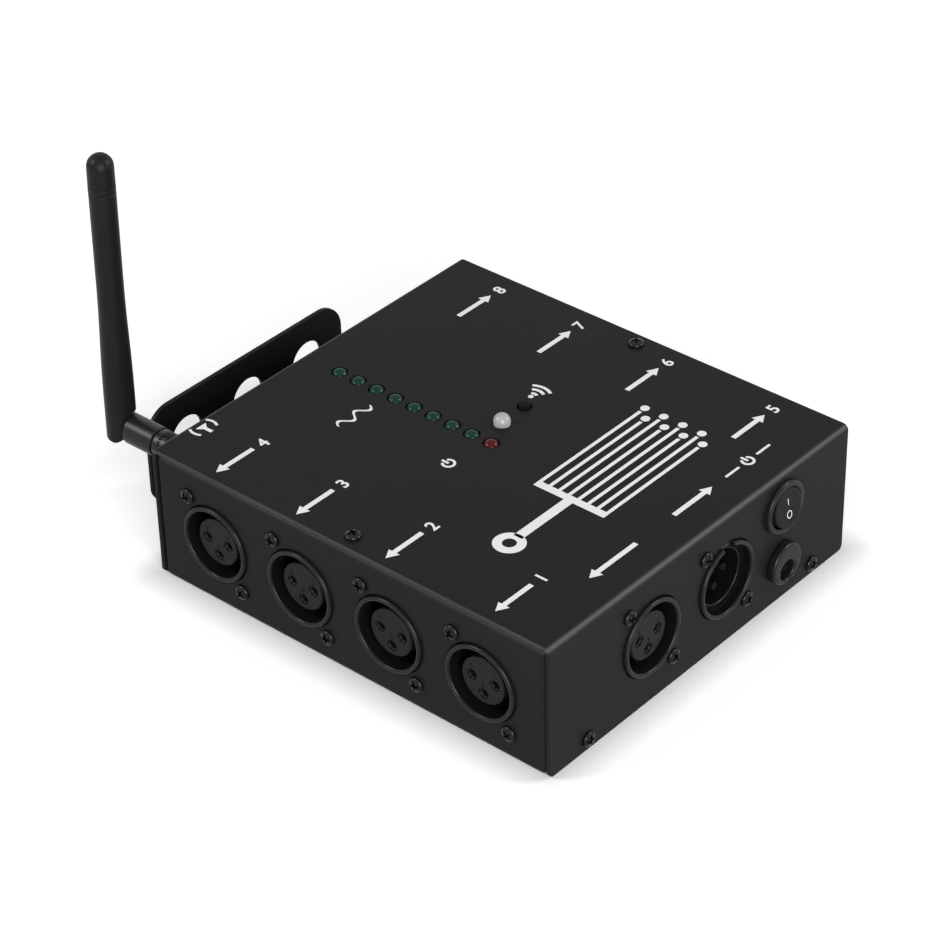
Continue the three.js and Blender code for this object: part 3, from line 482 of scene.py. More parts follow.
def fold_path(start, heading, runs, radius):
    """The outer face as runs with bends between: where each starts, how long it is, its place and angle."""
    spots, along = [], 0.0
    place, angle = Vector(start), heading
    for i, run in enumerate(runs):
        spots.append((along, run, place.copy(), angle, False))
        place += ahead(angle) * run
        along += run
        if i < len(runs) - 1:
            bend = radius * QUARTER
            spots.append((along, bend, place.copy(), angle, True))
            centre = place + into_sheet(angle) * radius
            angle -= QUARTER
            place = centre - into_sheet(angle) * radius
            along += bend
    return spots


def folded(path, radius, along, deep):
    """Where a point of the blank ends up."""
    for start, length, place, angle, bend in path:
        if along <= start + length:
            break
    if bend:
        turn = angle - (along - start) / radius
        centre = place + into_sheet(angle) * radius
        return centre - into_sheet(turn) * (radius - deep)
    return place + ahead(angle) * (along - start) + into_sheet(angle) * deep


def creased(bm, path, axis):
    """Cut the blank across at every bend, so that it can bend there."""
    normal = Vector([1.0 if i == axis else 0.0 for i in range(3)])
    for start, length, _, _, bend in path:
        for i in range(FOLD_STEPS + 1) if bend else ():
            spot = normal * (start + length * i / FOLD_STEPS)
            whole = bm.verts[:] + bm.edges[:] + bm.faces[:]
            bmesh.ops.bisect_plane(bm, geom=whole, plane_co=spot, plane_no=normal, dist=1e-4)


def highlighted_bends(bm, path, axis, most):
    """Note on every point how much painted highlight its bend gets: most in the middle of the bend."""
    note = bm.verts.layers.float.new("edge_highlight")
    for start, length, _, _, bend in path:
        for vert in bm.verts if bend else ():
            share = (vert.co[axis] - start) / length
            if 0 < share < 1:
                vert[note] = max(vert[note], most * math.sin(math.pi * share) ** HIGHLIGHT_FALLOFF)
    return note


def bent(bm, path, radius):
    """Fold a blank that runs along y."""
    for vert in bm.verts:
        y, z = folded(path, radius, vert.co.y, vert.co.z)
        vert.co = (vert.co.x, y, z)
    bmesh.ops.recalc_face_normals(bm, faces=bm.faces)


print("a fold has", FOLD_STEPS, "facets")

# %% [markdown]
# The upper cover is front panel, top and rear panel in one strip. Its blank is as wide as the case,
# and its four outer corners are rounded. Holes on the panels are given from where they end up: a
# height on the front, a place on the top, a height on the rear.

# %% Upper cover
SHEET, BEND, EDGE = 1.2, 1.8, 0.18
COVER_LOW, COVER_CORNER = 0.1, 1.8
panel_run = HEIGHT - BEND - COVER_LOW
top_run = DEPTH - 2 * BEND
cover_path = fold_path((-HALF_D, COVER_LOW), QUARTER, [panel_run, top_run, panel_run], BEND)
cover_long = sum(length for _, length, *_ in cover_path)


def on_front(z):
    return z - COVER_LOW


def on_top(y):
    return cover_path[2][0] + y + HALF_D - BEND


def on_rear(z):
    return cover_long - (z - COVER_LOW)


CONNECTOR_RING, RING_GAP, SCREW_HOLE = 11.7, 0.25, 1.7
FRONT_CONNECTORS = {"through": -23.01, "input": 9.594}
FRONT_HEIGHT, SIDE_HEIGHT = 21.5, 20.5
SCREW_ACROSS, SCREW_UP = 9.5, 12
SWITCH_X, SWITCH_Z, JACK_Z = 34.645, 31.8, 13.35
END_X, END_Z, TOP_X = 49.5, 3.9, 60.3
ANTENNA_X, ANTENNA_Z = -51, 32
LAMP_X, LAMP_STEP, LAMP_COUNT = -3.95, 7.07, 8
STATUS, BUTTON = (5.4, 4), (15.6, 4.4)
BRACKET_STEP, BRACKET_Z = 25.6, 14.2

cover_holes = [ring(3.4, ANTENNA_X, on_rear(ANTENNA_Z), 40)]
for x in FRONT_CONNECTORS.values():
    cover_holes.append(ring(CONNECTOR_RING + RING_GAP, x, on_front(FRONT_HEIGHT), 72))
    for side in (-1, 1):
        spot = (x + side * SCREW_ACROSS, on_front(FRONT_HEIGHT - side * SCREW_UP))
        cover_holes.append(ring(SCREW_HOLE, *spot, 24))
cover_holes += [ring(7.5, SWITCH_X, on_front(SWITCH_Z), 56), ring(6.2, SWITCH_X, on_front(JACK_Z), 56)]
for side in (-1, 1):
    for x, along in ((END_X, on_front(END_Z)), (END_X, on_rear(END_Z)), (TOP_X, on_top(0))):
        cover_holes.append(ring(SCREW_HOLE, side * x, along, 24))
    cover_holes.append(ring(2.2, side * BRACKET_STEP, on_rear(BRACKET_Z), 24))
cover_holes += [ring(2.5, LAMP_X, on_top(i * LAMP_STEP), 40) for i in range(LAMP_COUNT + 1)]
cover_holes += [ring(radius, x, on_top(y), 40) for radius, (x, y) in ((2.8, STATUS), (2.2, BUTTON))]

cover_edge = box_outline(-HALF_W, HALF_W, 0, cover_long, COVER_CORNER, COVER_CORNER)
cover_bm = plate([cover_edge] + cover_holes, 0, SHEET, EDGE)
creased(cover_bm, cover_path, 1)
edge_highlight = highlighted_bends(cover_bm, cover_path, 1, COVER_HIGHLIGHT)
# The cut edges along the top get a painted highlight too.
for vert in cover_bm.verts:
    if abs(vert.co.x) > HALF_W - EDGE * 0.6 and on_top(-HALF_D) < vert.co.y < on_top(HALF_D):
        vert[edge_highlight] = max(vert[edge_highlight], CUT_HIGHLIGHT)
bent(cover_bm, cover_path, BEND)
cover = piece("cover_sheet", cover_bm, coat, stands_for=["upper_cover"], slot="black_powder_coat")
print("cover:", len(cover.data.polygons), "faces, blank", round(cover_long, 1), "mm long")

# %% [markdown]
# The chassis is folded in two directions. Its blank is a cross: top flange, side, floor, side and
# top flange along one way, with flanges at the front and rear along the other. Folding the second
# way first, and then the first, brings both bends together at each corner as a piece of a ball.

# %% Lower chassis
CHASSIS_TOP, CHASSIS_HALF_D, TOP_FLANGE = 41, 69.5, 10
top_flange, side_flange, front_flange, rear_flange = TOP_FLANGE - BEND, 8 - BEND, 6.4 - BEND, 20 - BEND
side_run, floor_run, deep_run = CHASSIS_TOP - 2 * BEND, WIDTH - 2 * BEND, 2 * CHASSIS_HALF_D - 2 * BEND
around = fold_path((HALF_W - TOP_FLANGE, CHASSIS_TOP), 0,
                   [top_flange, side_run, floor_run, side_run, top_flange], BEND)
# The second path gives the place from front to rear, and how far a point lies inside the outer face
lengthwise = fold_path((rear_flange + BEND, -CHASSIS_HALF_D), math.pi,
                       [rear_flange, deep_run, rear_flange], BEND)
marks = [start for start, *_ in around] + [sum(around[-1][:2])]
fronts = [start for start, *_ in lengthwise[1:]]
v0, v1 = fronts[0], fronts[3]


def side_outline():
    """The blank's edge: one flange after another along its front, then back along its rear."""
    front = [(marks[0], v0)]
    for i, flange in ((2, side_flange), (4, front_flange), (6, side_flange)):
        front += [(marks[i], v0), (marks[i], v0 - flange), (marks[i + 1], v0 - flange), (marks[i + 1], v0)]
    front.append((marks[9], v0))
    rear = [(u, v1 + (rear_flange if v == v0 - front_flange else v0 - v)) for u, v in reversed(front)]
    return polygon(*front, *rear)


def on_side(right, y, z):
    down = marks[2] + (CHASSIS_TOP - BEND - z)
    return (down if right else marks[9] - down, fronts[1] + y + CHASSIS_HALF_D - BEND)


OUTPUT_YS = (-48, -16, 16, 48)
chassis_holes = []
for right, across in ((False, -1), (True, 1)):
    for y in OUTPUT_YS:
        chassis_holes.append(ring(CONNECTOR_RING + RING_GAP, *on_side(right, y, SIDE_HEIGHT), 72))
        for side in (-1, 1):
            spot = on_side(right, y + across * side * SCREW_ACROSS, SIDE_HEIGHT - side * SCREW_UP)
            chassis_holes.append(ring(SCREW_HOLE, *spot, 24))
chassis_bm = plate([side_outline()] + chassis_holes, 0, SHEET, EDGE)
creased(chassis_bm, around, 0)
creased(chassis_bm, lengthwise, 1)
# The chassis' bends get a fainter painted highlight.
highlighted_bends(chassis_bm, around, 0, CHASSIS_HIGHLIGHT)
for vert in chassis_bm.verts:
    inside, y = folded(lengthwise, BEND, vert.co.y, vert.co.z)
    x, z = folded(around, BEND, vert.co.x, inside)
    vert.co = (x, y, z)
bmesh.ops.recalc_face_normals(chassis_bm, faces=chassis_bm.faces)
chassis = piece("chassis_sheet", chassis_bm, coat, stands_for=["lower_chassis"], slot="black_powder_coat")

# %% [markdown]
# The hanging bracket is thicker plate, folded into a channel. Its inner leg is screwed to the rear
# panel and its outer leg has three holes for a clamp bolt. Both legs have generous corners, so that
# nobody is cut by them in the dark above a stage.

# %% Hanging bracket
B_SHEET, B_BEND, B_CORNER = 1.5, 2.3, 9
B_WIDE, B_HIGH, B_INNER, B_DEEP, B_REAR = 41, 28.5, 24, 28.95, 100
bracket_runs = [B_HIGH - B_BEND, B_DEEP - 2 * B_BEND, B_INNER - B_BEND]
bracket_path = fold_path((B_REAR, B_HIGH), -QUARTER, bracket_runs, B_BEND)
bracket_long = sum(length for _, length, *_ in bracket_path)
bracket_edge = box_outline(-B_WIDE, B_WIDE, 0, bracket_long, B_CORNER, B_CORNER, 14)
bracket_holes = [ring(6.3, k * BRACKET_STEP, B_HIGH - BRACKET_Z, 64) for k in (-1, 0, 1)]
bracket_holes += [ring(2.3, k * BRACKET_STEP, bracket_long - (B_INNER - BRACKET_Z), 32) for k in (-1, 1)]
bracket_bm = plate([bracket_edge] + bracket_holes, 0, B_SHEET, 0.3)
creased(bracket_bm, bracket_path, 1)
bent(bracket_bm, bracket_path, B_BEND)
bracket = piece("bracket_plate", bracket_bm, coat, stands_for=["hanging_bracket"], slot="black_powder_coat")

# %% [markdown]
# Each connector's shell shows as a rounded ring that stands 1.1 mm proud of the panel, with a deep
# mouth. The ring's soft edge is what draws the bright arcs in the photograph, so its profile matters
# more than anything behind the panel.

# %% Female connector shells
PANEL_BACK = -SHEET - 0.05
FLANGE_BACK = PANEL_BACK - 3
BODY_END = -19.2
FLOOR = BODY_END + 2
RING_PROUD = 1.1
MOUTH_TOP, MOUTH_RADIUS = -0.3, 10.35
STEP_LOW, STEP_RADIUS = -2.3, 8.8


def shell_profile(inner):
    return [(0, BODY_END), (12, BODY_END, 0.5), (12, FLANGE_BACK), (CONNECTOR_RING, FLANGE_BACK),
            (CONNECTOR_RING, RING_PROUD, 0.75)] + inner


def matt_and_shaded_inside(bm):
    """The faces of the mouth below its lip take the second finish, a darker nylon that paints shade in the
    recess, but an inner step stays smooth.
    """
    for face in bm.faces:
        middle = face.calc_center_median()
        out = middle.xy.length
        step = middle.z > STEP_LOW and out < STEP_RADIUS
        if middle.z < MOUTH_TOP and out < MOUTH_RADIUS and not step:
            face.material_index = 1
    return bm


def with_flange(bm):
    flange = [box_outline(-13, 13, -14.75, 14.75, 2.5, 2.5), ring(12.05)]
    return joined(bm, plate(flange, FLANGE_BACK, PANEL_BACK, 0.2))


female_mouth = [(10.3, RING_PROUD, 0.65), (10.2, -1.6, 0.3), (10.2, FLOOR), (0, FLOOR)]
places = {}
for first, side in ((1, -1), (5, 1)):
    for i, y in enumerate(OUTPUT_YS):
        places[f"output_{first + i}"] = facing_front(side * HALF_W, SIDE_HEIGHT, y, side * QUARTER)
for name, x in FRONT_CONNECTORS.items():
    places[name] = facing_front(x, FRONT_HEIGHT)
sockets = {name: place for name, place in places.items() if name != "input"}
for name, place in sockets.items():
    socket_bm = with_flange(matt_and_shaded_inside(turned(shell_profile(female_mouth), 96)))
    piece(f"{name}_socket_shell", socket_bm, (nylon, shaded_mouth_nylon), place,
          stands_for=[f"{name}_shell"], slot="black_plastic")
print("shells:", len(sockets))

# %% [markdown]
# The insert is a moulded disc with three holes, and silver sleeves sit a little way down them. The
# holes' eased rims and the sleeves' lips give the bright dots in the photograph. A small raised
# number stands above each hole.

# %% Female inserts
POLES = [(-3.9, 0.2), (3.9, 0.2), (0, -4.3)]


def figure(text, size, thick, bold=0.0):
    """A plain figure as a thin solid mesh that starts at the origin."""
    curve = bpy.data.curves.new("figure", "FONT")
    curve.body = text
    curve.size = size
    curve.offset = bold
    curve.extrude = thick / 2
    thing = bpy.data.objects.new("figure", curve)
    scene_objects.link(thing)
    graph = bpy.context.evaluated_depsgraph_get()
    mesh = bpy.data.meshes.new_from_object(thing.evaluated_get(graph))
    bpy.data.objects.remove(thing)
    bm = bmesh.new()
    bm.from_mesh(mesh)
    bmesh.ops.remove_doubles(bm, verts=bm.verts, dist=1e-4)
    return bm


for name, place in sockets.items():
    core = plate([ring(7.2, sides=96)] + [ring(1.65, x, y, 32) for x, y in POLES], FLOOR + 2, -0.8, 0.3)
    joined(core, plate([ring(9.9, sides=64)], FLOOR + 0.05, FLOOR + 1.95, 0.2))
    for text, (x, y) in zip("213", POLES):
        label = figure(text, 1.9, 0.2)
        label.transform(Matrix.Translation((x - 0.5, y + 2.3, -0.75)))
        joined(core, label)
    piece(f"{name}_insert", core, insert_nylon, place, stands_for=[f"{name}_core"], slot="dark_plastic")

# %% [markdown]
# The male connector has the same ring, but a step inside its mouth, a narrower barrel and a notch at
# the top for the cable connector's latch. Three round-nosed pins stand in it.

# %% Male connector
male_mouth = [(10.3, RING_PROUD, 0.65), (10.2, -1.8, 0.2), (8.2, -1.8, 0.4), (8.2, FLOOR), (0, FLOOR)]
male_bm = turned(shell_profile(male_mouth), 96)
male_bm = combined(male_bm, plate([box_outline(-2.5, 2.5, 0, 10.6, 1, 0)], -7, 4, 0.01), "DIFFERENCE")
male_bm = combined(male_bm, plate([box_outline(-2.3, 2.3, 7, 13)], -0.3, 4, 0.01), "DIFFERENCE")
piece("input_plug_shell", with_flange(matt_and_shaded_inside(male_bm)), (nylon, shaded_mouth_nylon), places["input"],
      stands_for=["input_shell"], slot="black_plastic", sharp=30)
base_bm = plate([ring(7.9, sides=72)], FLOOR + 0.05, FLOOR + 2, 0.2)
piece("input_base", base_bm, insert_nylon, places["input"], slot="dark_plastic")

# %% [markdown]
# What repeats is placed by one Geometry Nodes tree: it puts a copy of a small model on each point of
# a mesh, at a given size, turned to face a stored direction and spun by a random angle with a fixed
# seed, because nobody drives screws to the same angle. Realize Instances makes it a real mesh.

# %% Copies on points


def node_group(name, sockets_in):
    """A Geometry Nodes group: its tree, its inputs and the keys by which a modifier sets them."""
    tree = bpy.data.node_groups.new(name, "GeometryNodeTree")
    for label, kind in sockets_in.items():
        tree.interface.new_socket(label, in_out="INPUT", socket_type="NodeSocket" + kind)
    tree.interface.new_socket("Geometry", in_out="OUTPUT", socket_type="NodeSocketGeometry")
    keys = {item.name: item.identifier for item in tree.interface.items_tree if item.in_out == "INPUT"}
    return tree, add(tree, "NodeGroupInput").outputs, keys


def end_group(tree, instances, finish):
    """Make the copies real, give them their finish and hand them out."""
    real = add(tree, "GeometryNodeRealizeInstances", {"Geometry": instances})
    dressed = add(tree, "GeometryNodeSetMaterial", {"Geometry": real.outputs[0], "Material": finish})
    add(tree, "NodeGroupOutput", {"Geometry": dressed.outputs[0]})


def through_group(thing, tree, keys, values):
    change = thing.modifiers.new("group", "NODES")
    change.node_group = tree
    for label, value in values.items():
        change[keys[label]] = value
    baked(thing)


copies_tree, given, copies_keys = node_group("copies_on_points", {
    "Geometry": "Geometry", "Model": "Object", "Size": "Float", "Most spin": "Float", "Finish": "Material"})
facing = add(copies_tree, "GeometryNodeInputNamedAttribute", {"Name": "facing"}, data_type="FLOAT_VECTOR")
aimed = add(copies_tree, "FunctionNodeAlignRotationToVector", {"Vector": facing.outputs[0]}, axis="Z")
chance = add(copies_tree, "FunctionNodeRandomValue", {"Seed": 7, 3: given["Most spin"]}, data_type="FLOAT")
spin = add(copies_tree, "ShaderNodeCombineXYZ", {"Z": chance.outputs[1]})
turning = add(copies_tree, "FunctionNodeRotateRotation", {
    "Rotation": aimed.outputs[0], "Rotate By": spin.outputs[0]}, rotation_space="LOCAL")
model = add(copies_tree, "GeometryNodeObjectInfo", {"Object": given["Model"], "As Instance": True})
placed = add(copies_tree, "GeometryNodeInstanceOnPoints", {
    "Points": given["Geometry"], "Instance": model.outputs["Geometry"],
    "Rotation": turning.outputs[0], "Scale": given["Size"]})
end_group(copies_tree, placed.outputs[0], given["Finish"])
print("inputs:", sorted(copies_keys))


def copies(name, model_bm, spots, finish, size=1.0, spin=0.0, **words):
    prototype = loose(model_bm, "prototype")
    mesh = bpy.data.meshes.new(name)
    mesh.from_pydata([spot for spot, _ in spots], [], [])
    directions = mesh.attributes.new("facing", "FLOAT_VECTOR", "POINT")
    for item, (_, direction) in zip(directions.data, spots):
        item.vector = direction
    points = bpy.data.objects.new(name, mesh)
    scene_objects.link(points)
    values = {"Model": prototype, "Size": size, "Most spin": spin, "Finish": finish}
    through_group(points, copies_tree, copies_keys, values)
    bm = bmesh.new()
    bm.from_mesh(points.data)
    for thing in (points, prototype):
        bpy.data.objects.remove(thing)
    return piece(name, bm, finish, **words)


# %% [markdown]
# A pan-head screw: a flat-bottomed head with a domed crown and a cross recess. The recess is cut once
# in the model, and every copy has it.

# %% Screws
SMALL_SCREW, LARGE_SCREW = (2.3, 1.4, 1.5, 5), (3.7, 2.4, 2, 7)
SEAT = 0.05


def pan_screw(head, high, shank, long):
    bm = turned([(0, -long), (shank, -long, 0.2), (shank, 0), (head, 0, 0.15),
                 (head, high * 0.55, high * 0.4), (head * 0.45, high, head * 0.4), (0, high)], 40, 5)
    arm, half = head * 0.6, head * 0.17
    for wide, deep in ((arm, half), (half, arm)):
        cross = plate([box_outline(-wide, wide, -deep, deep)], high * 0.28, high + 1, 0.01, 1)
        bm = combined(bm, cross, "DIFFERENCE")
    return bm


def outward(place):
    return (place.to_3x3() @ Vector((0, 0, 1))).to_tuple()


front, rear, upward = (0, -1, 0), (0, 1, 0), (0, 0, 1)
connector_screws = [(place @ Vector((side * SCREW_ACROSS, -side * SCREW_UP, SEAT)), outward(place))
                    for place in places.values() for side in (-1, 1)]
copies("connector_screws", pan_screw(*SMALL_SCREW), connector_screws, oxide, spin=QUARTER, slot="black_steel")
case_screws = [((side * TOP_X, 0, HEIGHT + SEAT), upward) for side in (-1, 1)]
case_screws += [((side * END_X, way[1] * (HALF_D + SEAT), END_Z), way) for way in (front, rear)
                for side in (-1, 1)]
case_names = [f"cover_screw_{where}_{side}" for where in ("top", "front", "rear")
              for side in ("left", "right")]
copies("case_screws", pan_screw(*SMALL_SCREW), case_screws, oxide, spin=QUARTER, slot="black_steel",
       stands_for=case_names)
bracket_screws = [((side * BRACKET_STEP, HALF_D + B_SHEET + 0.1, BRACKET_Z), rear) for side in (-1, 1)]
copies("bracket_screws", pan_screw(*LARGE_SCREW), bracket_screws, oxide, spin=QUARTER, slot="black_steel",
       stands_for=["bracket_screw_left", "bracket_screw_right"])
print("screws:", len(connector_screws) + len(case_screws) + len(bracket_screws))

# %% [markdown]
# The contacts: sleeves in the female inserts and round-nosed pins in the male one. They are copies on
# points too, with no spin.

# %% Contacts
sleeve_bm = turned([(1.6, -9), (1.6, -0.6, 0.2), (1.35, -0.72, 0.3), (1.15, -1.8, 0.3), (1.15, -8.6),
                    (1.15, -9), (1.6, -9)], 32, 5)
female_spots = [(place @ Vector((x, y, -0.8)), outward(place))
                for place in sockets.values() for x, y in POLES]
copies("contact_sleeves", sleeve_bm, female_spots, shaded_contact, slot="contact_metal")
pin_bm = turned([(0, FLOOR + 1), (1.2, FLOOR + 1), (1.2, -3.5, 0.8), (0, -3.5)], 32, 5)
pin_spots = [(places["input"] @ Vector((x, y, 0)), front) for x, y in POLES]
copies("input_contact_pins", pin_bm, pin_spots, shaded_pin, slot="contact_metal", stands_for=["input_pins"])
print("contacts:", len(female_spots) + len(pin_spots))

# %% [markdown]
# The round rocker switch: a bezel with a soft outer edge, and a rocker whose face is a shallow
# valley. The face is a disc of rings and spokes with a height worked out for each point.

# %% Power switch
FACE_MIDDLE, FACE_RISE, FACE_REACH, FACE_ROUND, VALLEY_SOFT = 1.98, 0.1, 6.2, 6.35, 0.3
ROCKER_RADIUS, ROCKER_LOW, RIM_EASE, REST_TILT = 5.95, -2.6, 0.12, 9
bezel_bm = turned([(0, -13.2), (7.2, -13.2, 0.5), (7.3, 0.05), (8.2, 0.05), (8.2, 1.55, 1.0),
                   (6.42, 1.55, 0.6), (6.42, 0.6, 0.2), (6.6, 0.2), (6.6, -5.5), (0, -5.5)], 96)
blades = [plate([box_outline(-2.4, 2.4, y - 0.4, y + 0.4)], -18.2, -13, 0.1) for y in (-3.2, 3.2)]
switch_place = facing_front(SWITCH_X, SWITCH_Z)
piece("switch_bezel", joined(bezel_bm, *blades), nylon, switch_place,
      stands_for=["power_switch_housing"], slot="black_plastic")


def rocker_face(y):
    valley = FACE_MIDDLE + FACE_RISE * math.sqrt(y * y + VALLEY_SOFT ** 2) / FACE_REACH
    return min(valley, math.sqrt(FACE_ROUND ** 2 - y * y))


def rocker_disc():
    rings, sides = 16, 96
    bm = bmesh.new()
    rows = [[bm.verts.new((0, 0, rocker_face(0)))]]
    for k in range(1, rings + 1):
        rim = RIM_EASE if k == rings else 0
        spots = ring(ROCKER_RADIUS * k / rings, sides=sides)
        rows.append([bm.verts.new((p.x, p.y, rocker_face(p.y) - rim)) for p in spots])
    rows.append([bm.verts.new((p.x, p.y, ROCKER_LOW)) for p in ring(ROCKER_RADIUS, sides=sides)])
    rows.append([bm.verts.new((0, 0, ROCKER_LOW))])
    return skinned(bm, rows)


rest_turn = Matrix.Rotation(-math.radians(REST_TILT), 4, "X")
rocker_place = switch_place @ Matrix.Translation((0, 0, 0.2)) @ rest_turn
piece("switch_rocker", rocker_disc(), rocker_nylon, rocker_place, body="rocker",
      stands_for=["power_switch_rocker"], slot="black_plastic", sharp=30)

# %% [markdown]
# The rocker's two marks are thin print that lies on the valley. They are small plates whose points
# are set down on the rocker's own face, 0.01 mm above it.

# %% Rocker marks
MARK_GAP, MARK_THICK, MARK_EASE = 0.01, 0.04, 0.004
oval = [[Vector((p.x * narrow, p.y)) for p in ring(radius, 0, -2, 40)]
        for radius, narrow in ((1.2, 0.9), (0.97, 0.88))]
for state, outlines in (("on", [box_outline(-0.11, 0.11, 1.0, 2.9)]), ("off", oval)):
    bm = plate(outlines, 0, MARK_THICK, MARK_EASE, 1)
    for vert in bm.verts:
        vert.co.z += rocker_face(vert.co.y) + MARK_GAP
    piece(f"rocker_mark_{state}", bm, ink, rocker_place, body="rocker")

# %% [markdown]
# The power jack is a round moulded face with its mouth below the middle, and a thin pin inside.

# %% Power jack
MOUTH_Y = -2.1
jack_pin_bm = turned([(0, -7.6), (1.05, -7.6), (1.05, 0.5, 0.4), (0, 0.5)], 24)
jack_pin_bm.transform(Matrix.Translation((0, MOUTH_Y, 0)))
jack_bm = joined(plate([ring(6.4, sides=96), ring(3.1, 0, MOUTH_Y, 64)], 0.05, 2.8, 0.75, 5),
                 plate([ring(6.1, sides=64), ring(3.12, 0, MOUTH_Y, 48)], -7.4, 0.3, 0.05, 1),
                 plate([ring(6.1, sides=64)], -12.2, -7.5, 0.2), jack_pin_bm)
piece("jack_body", jack_bm, nylon, facing_front(SWITCH_X, JACK_Z),
      stands_for=["power_jack"], slot="black_plastic")

# %% [markdown]
# The lamps. Each is a cast body with a collar and a domed lens. The signal lamps and the power lamp
# rise less than 1 mm above the top, while the milky one stands 3 mm proud.

# %% Lamps
LAMP_FOOT, COLLAR_HIGH = 36.05, 1


def lamp(radius, collar, proud):
    tip, step = HEIGHT + proud, LAMP_FOOT + COLLAR_HIGH
    low = [(0, LAMP_FOOT), (collar, LAMP_FOOT), (collar, step, 0.1), (radius, step)]
    return turned(low + arc(radius, 0, QUARTER, 16, 0, tip - radius)[:-1] + [(0, tip)], 48)


for i in range(LAMP_COUNT + 1):
    name, color = (f"signal_lamp_{i}", "green") if i else ("power_lamp", "red")
    piece(f"{name}_lens", lamp(2.4, 2.7, 0.9), green_epoxy if i else red_epoxy,
          Matrix.Translation((LAMP_X, i * LAMP_STEP, 0)), stands_for=[name], slot=f"{color}_lens", sharp=50)
piece("status_lamp_lens", lamp(2.5, 2.9, 3.1), milk_epoxy, Matrix.Translation((*STATUS, 0)),
      stands_for=["status_lamp"], slot="milk_lens", sharp=50)
button_bm = turned([(0, 39.05), (1.7, 39.05), (1.7, 43.9, 0.5), (0, 43.9)], 40)
piece("button_cap_moulding", button_bm, button_rubber, Matrix.Translation((*BUTTON, 0)), body="link_button",
      stands_for=["link_button_cap"], slot="black_plastic")

# %% [markdown]
# The antenna. A threaded bulkhead is held in the rear panel by a hexagonal nut. A knurled coupling
# nut pulls the barrel onto it, and the sleeve folds on a pin through the end of the barrel. Barrel
# and sleeve each keep half of their thickness there, so that they lap.

# %% Antenna bulkhead and nuts
antenna_place = facing_rear(ANTENNA_X, ANTENNA_Z)
PITCH, TURNS = 0.6, 11
thread = []
for i in range(TURNS):
    h = 0.4 + i * PITCH
    thread += [(2.85, h), (3.1, h + PITCH / 2)]
bulkhead_bm = turned([(0, -6.25), (2.5, -6.25, 0.2), (2.5, -4.25), (4.5, -4.25, 0.2), (4.5, -1.25),
                      (3.1, -1.25)] + thread + [(2.85, 7, 0.1), (1.3, 7, 0.1), (1.3, 1), (0, 1)], 56, 2)
piece("bulkhead_thread", bulkhead_bm, gold, antenna_place, stands_for=["antenna_bulkhead"], slot="brass")
hex_nut = plate([ring(4.6, sides=6), ring(3.3, sides=48)], 0.05, 2.25, 0.3)
piece("bulkhead_hex_nut", hex_nut, gold, antenna_place, stands_for=["antenna_bulkhead_nut"], slot="brass")

# %% [markdown]
# The coupling nut's ridges come from a second Geometry Nodes tree: bars on a circle, with their
# number and sizes as inputs.

# %% Coupling nut
RIDGES = {"Count": 30, "Radius": 3.72, "Ridge size": (0.9, 0.34, 5.2), "Finish": nut_oxide}
RIDGE_MIDDLE = 6.6
ridge_tree, given, ridge_keys = node_group("ridges_round_a_nut", {
    "Count": "Int", "Radius": "Float", "Ridge size": "Vector", "Finish": "Material"})
circle = add(ridge_tree, "GeometryNodeMeshCircle", {"Vertices": given["Count"], "Radius": given["Radius"]})
spot = add(ridge_tree, "GeometryNodeInputPosition")
turned_out = add(ridge_tree, "FunctionNodeAlignRotationToVector", {"Vector": spot.outputs[0]}, axis="X")
bar = add(ridge_tree, "GeometryNodeMeshCube", {"Size": given["Ridge size"]})
around_nut = add(ridge_tree, "GeometryNodeInstanceOnPoints", {
    "Points": circle.outputs[0], "Instance": bar.outputs[0], "Rotation": turned_out.outputs[0]})
end_group(ridge_tree, around_nut.outputs[0], given["Finish"])

ridges = bpy.data.objects.new("ridges", bpy.data.meshes.new("ridges"))
scene_objects.link(ridges)
through_group(ridges, ridge_tree, ridge_keys, RIDGES)
for vert in ridges.data.vertices:
    vert.co.z += RIDGE_MIDDLE
nut_bm = turned([(3.4, 3.9), (3.65, 3.9, 0.1), (3.65, 9.2), (4.2, 9.25, 0.15), (4.2, 11.2, 0.3),
                 (2.7, 11.2, 0.2), (2.7, 8.8), (3.4, 8.8), (3.4, 3.9)], 72)
nut_bm.from_mesh(ridges.data)
bpy.data.objects.remove(ridges)
piece("coupling_nut_knurled", nut_bm, nut_oxide, antenna_place, body="coupling_nut",
      stands_for=["antenna_coupling_nut"], slot="black_steel", sharp=30)

# %% [markdown]
# The lap joint is cut with two tools: a block that takes away one half, and a mask that rounds the
# end about the pin.

# %% Barrel and sleeve
HINGE, LAP_ROUND = 27.2, 4.47
LEAN = math.radians(1)
hinge_place = Matrix.Translation((ANTENNA_X, HALF_D + HINGE, ANTENNA_Z))


def lap_mask(centre, toward, reach):
    """Round about the pin on one side, straight on the other, seen along the pin."""
    straight = polygon((-6, 0), (-6, -reach), (6, -reach), (6, 0))
    bm = plate([arc(LAP_ROUND, 0, math.pi, 24) + straight], -6, 6, 0.01, 1)
    turn = Matrix.Rotation(QUARTER, 4, "Z") @ Matrix.Rotation(QUARTER, 4, "X")
    flip = Matrix() if toward < 0 else Matrix.Rotation(math.pi, 4, "X")
    bm.transform(Matrix.Translation((0, 0, centre)) @ flip @ turn)
    return bm


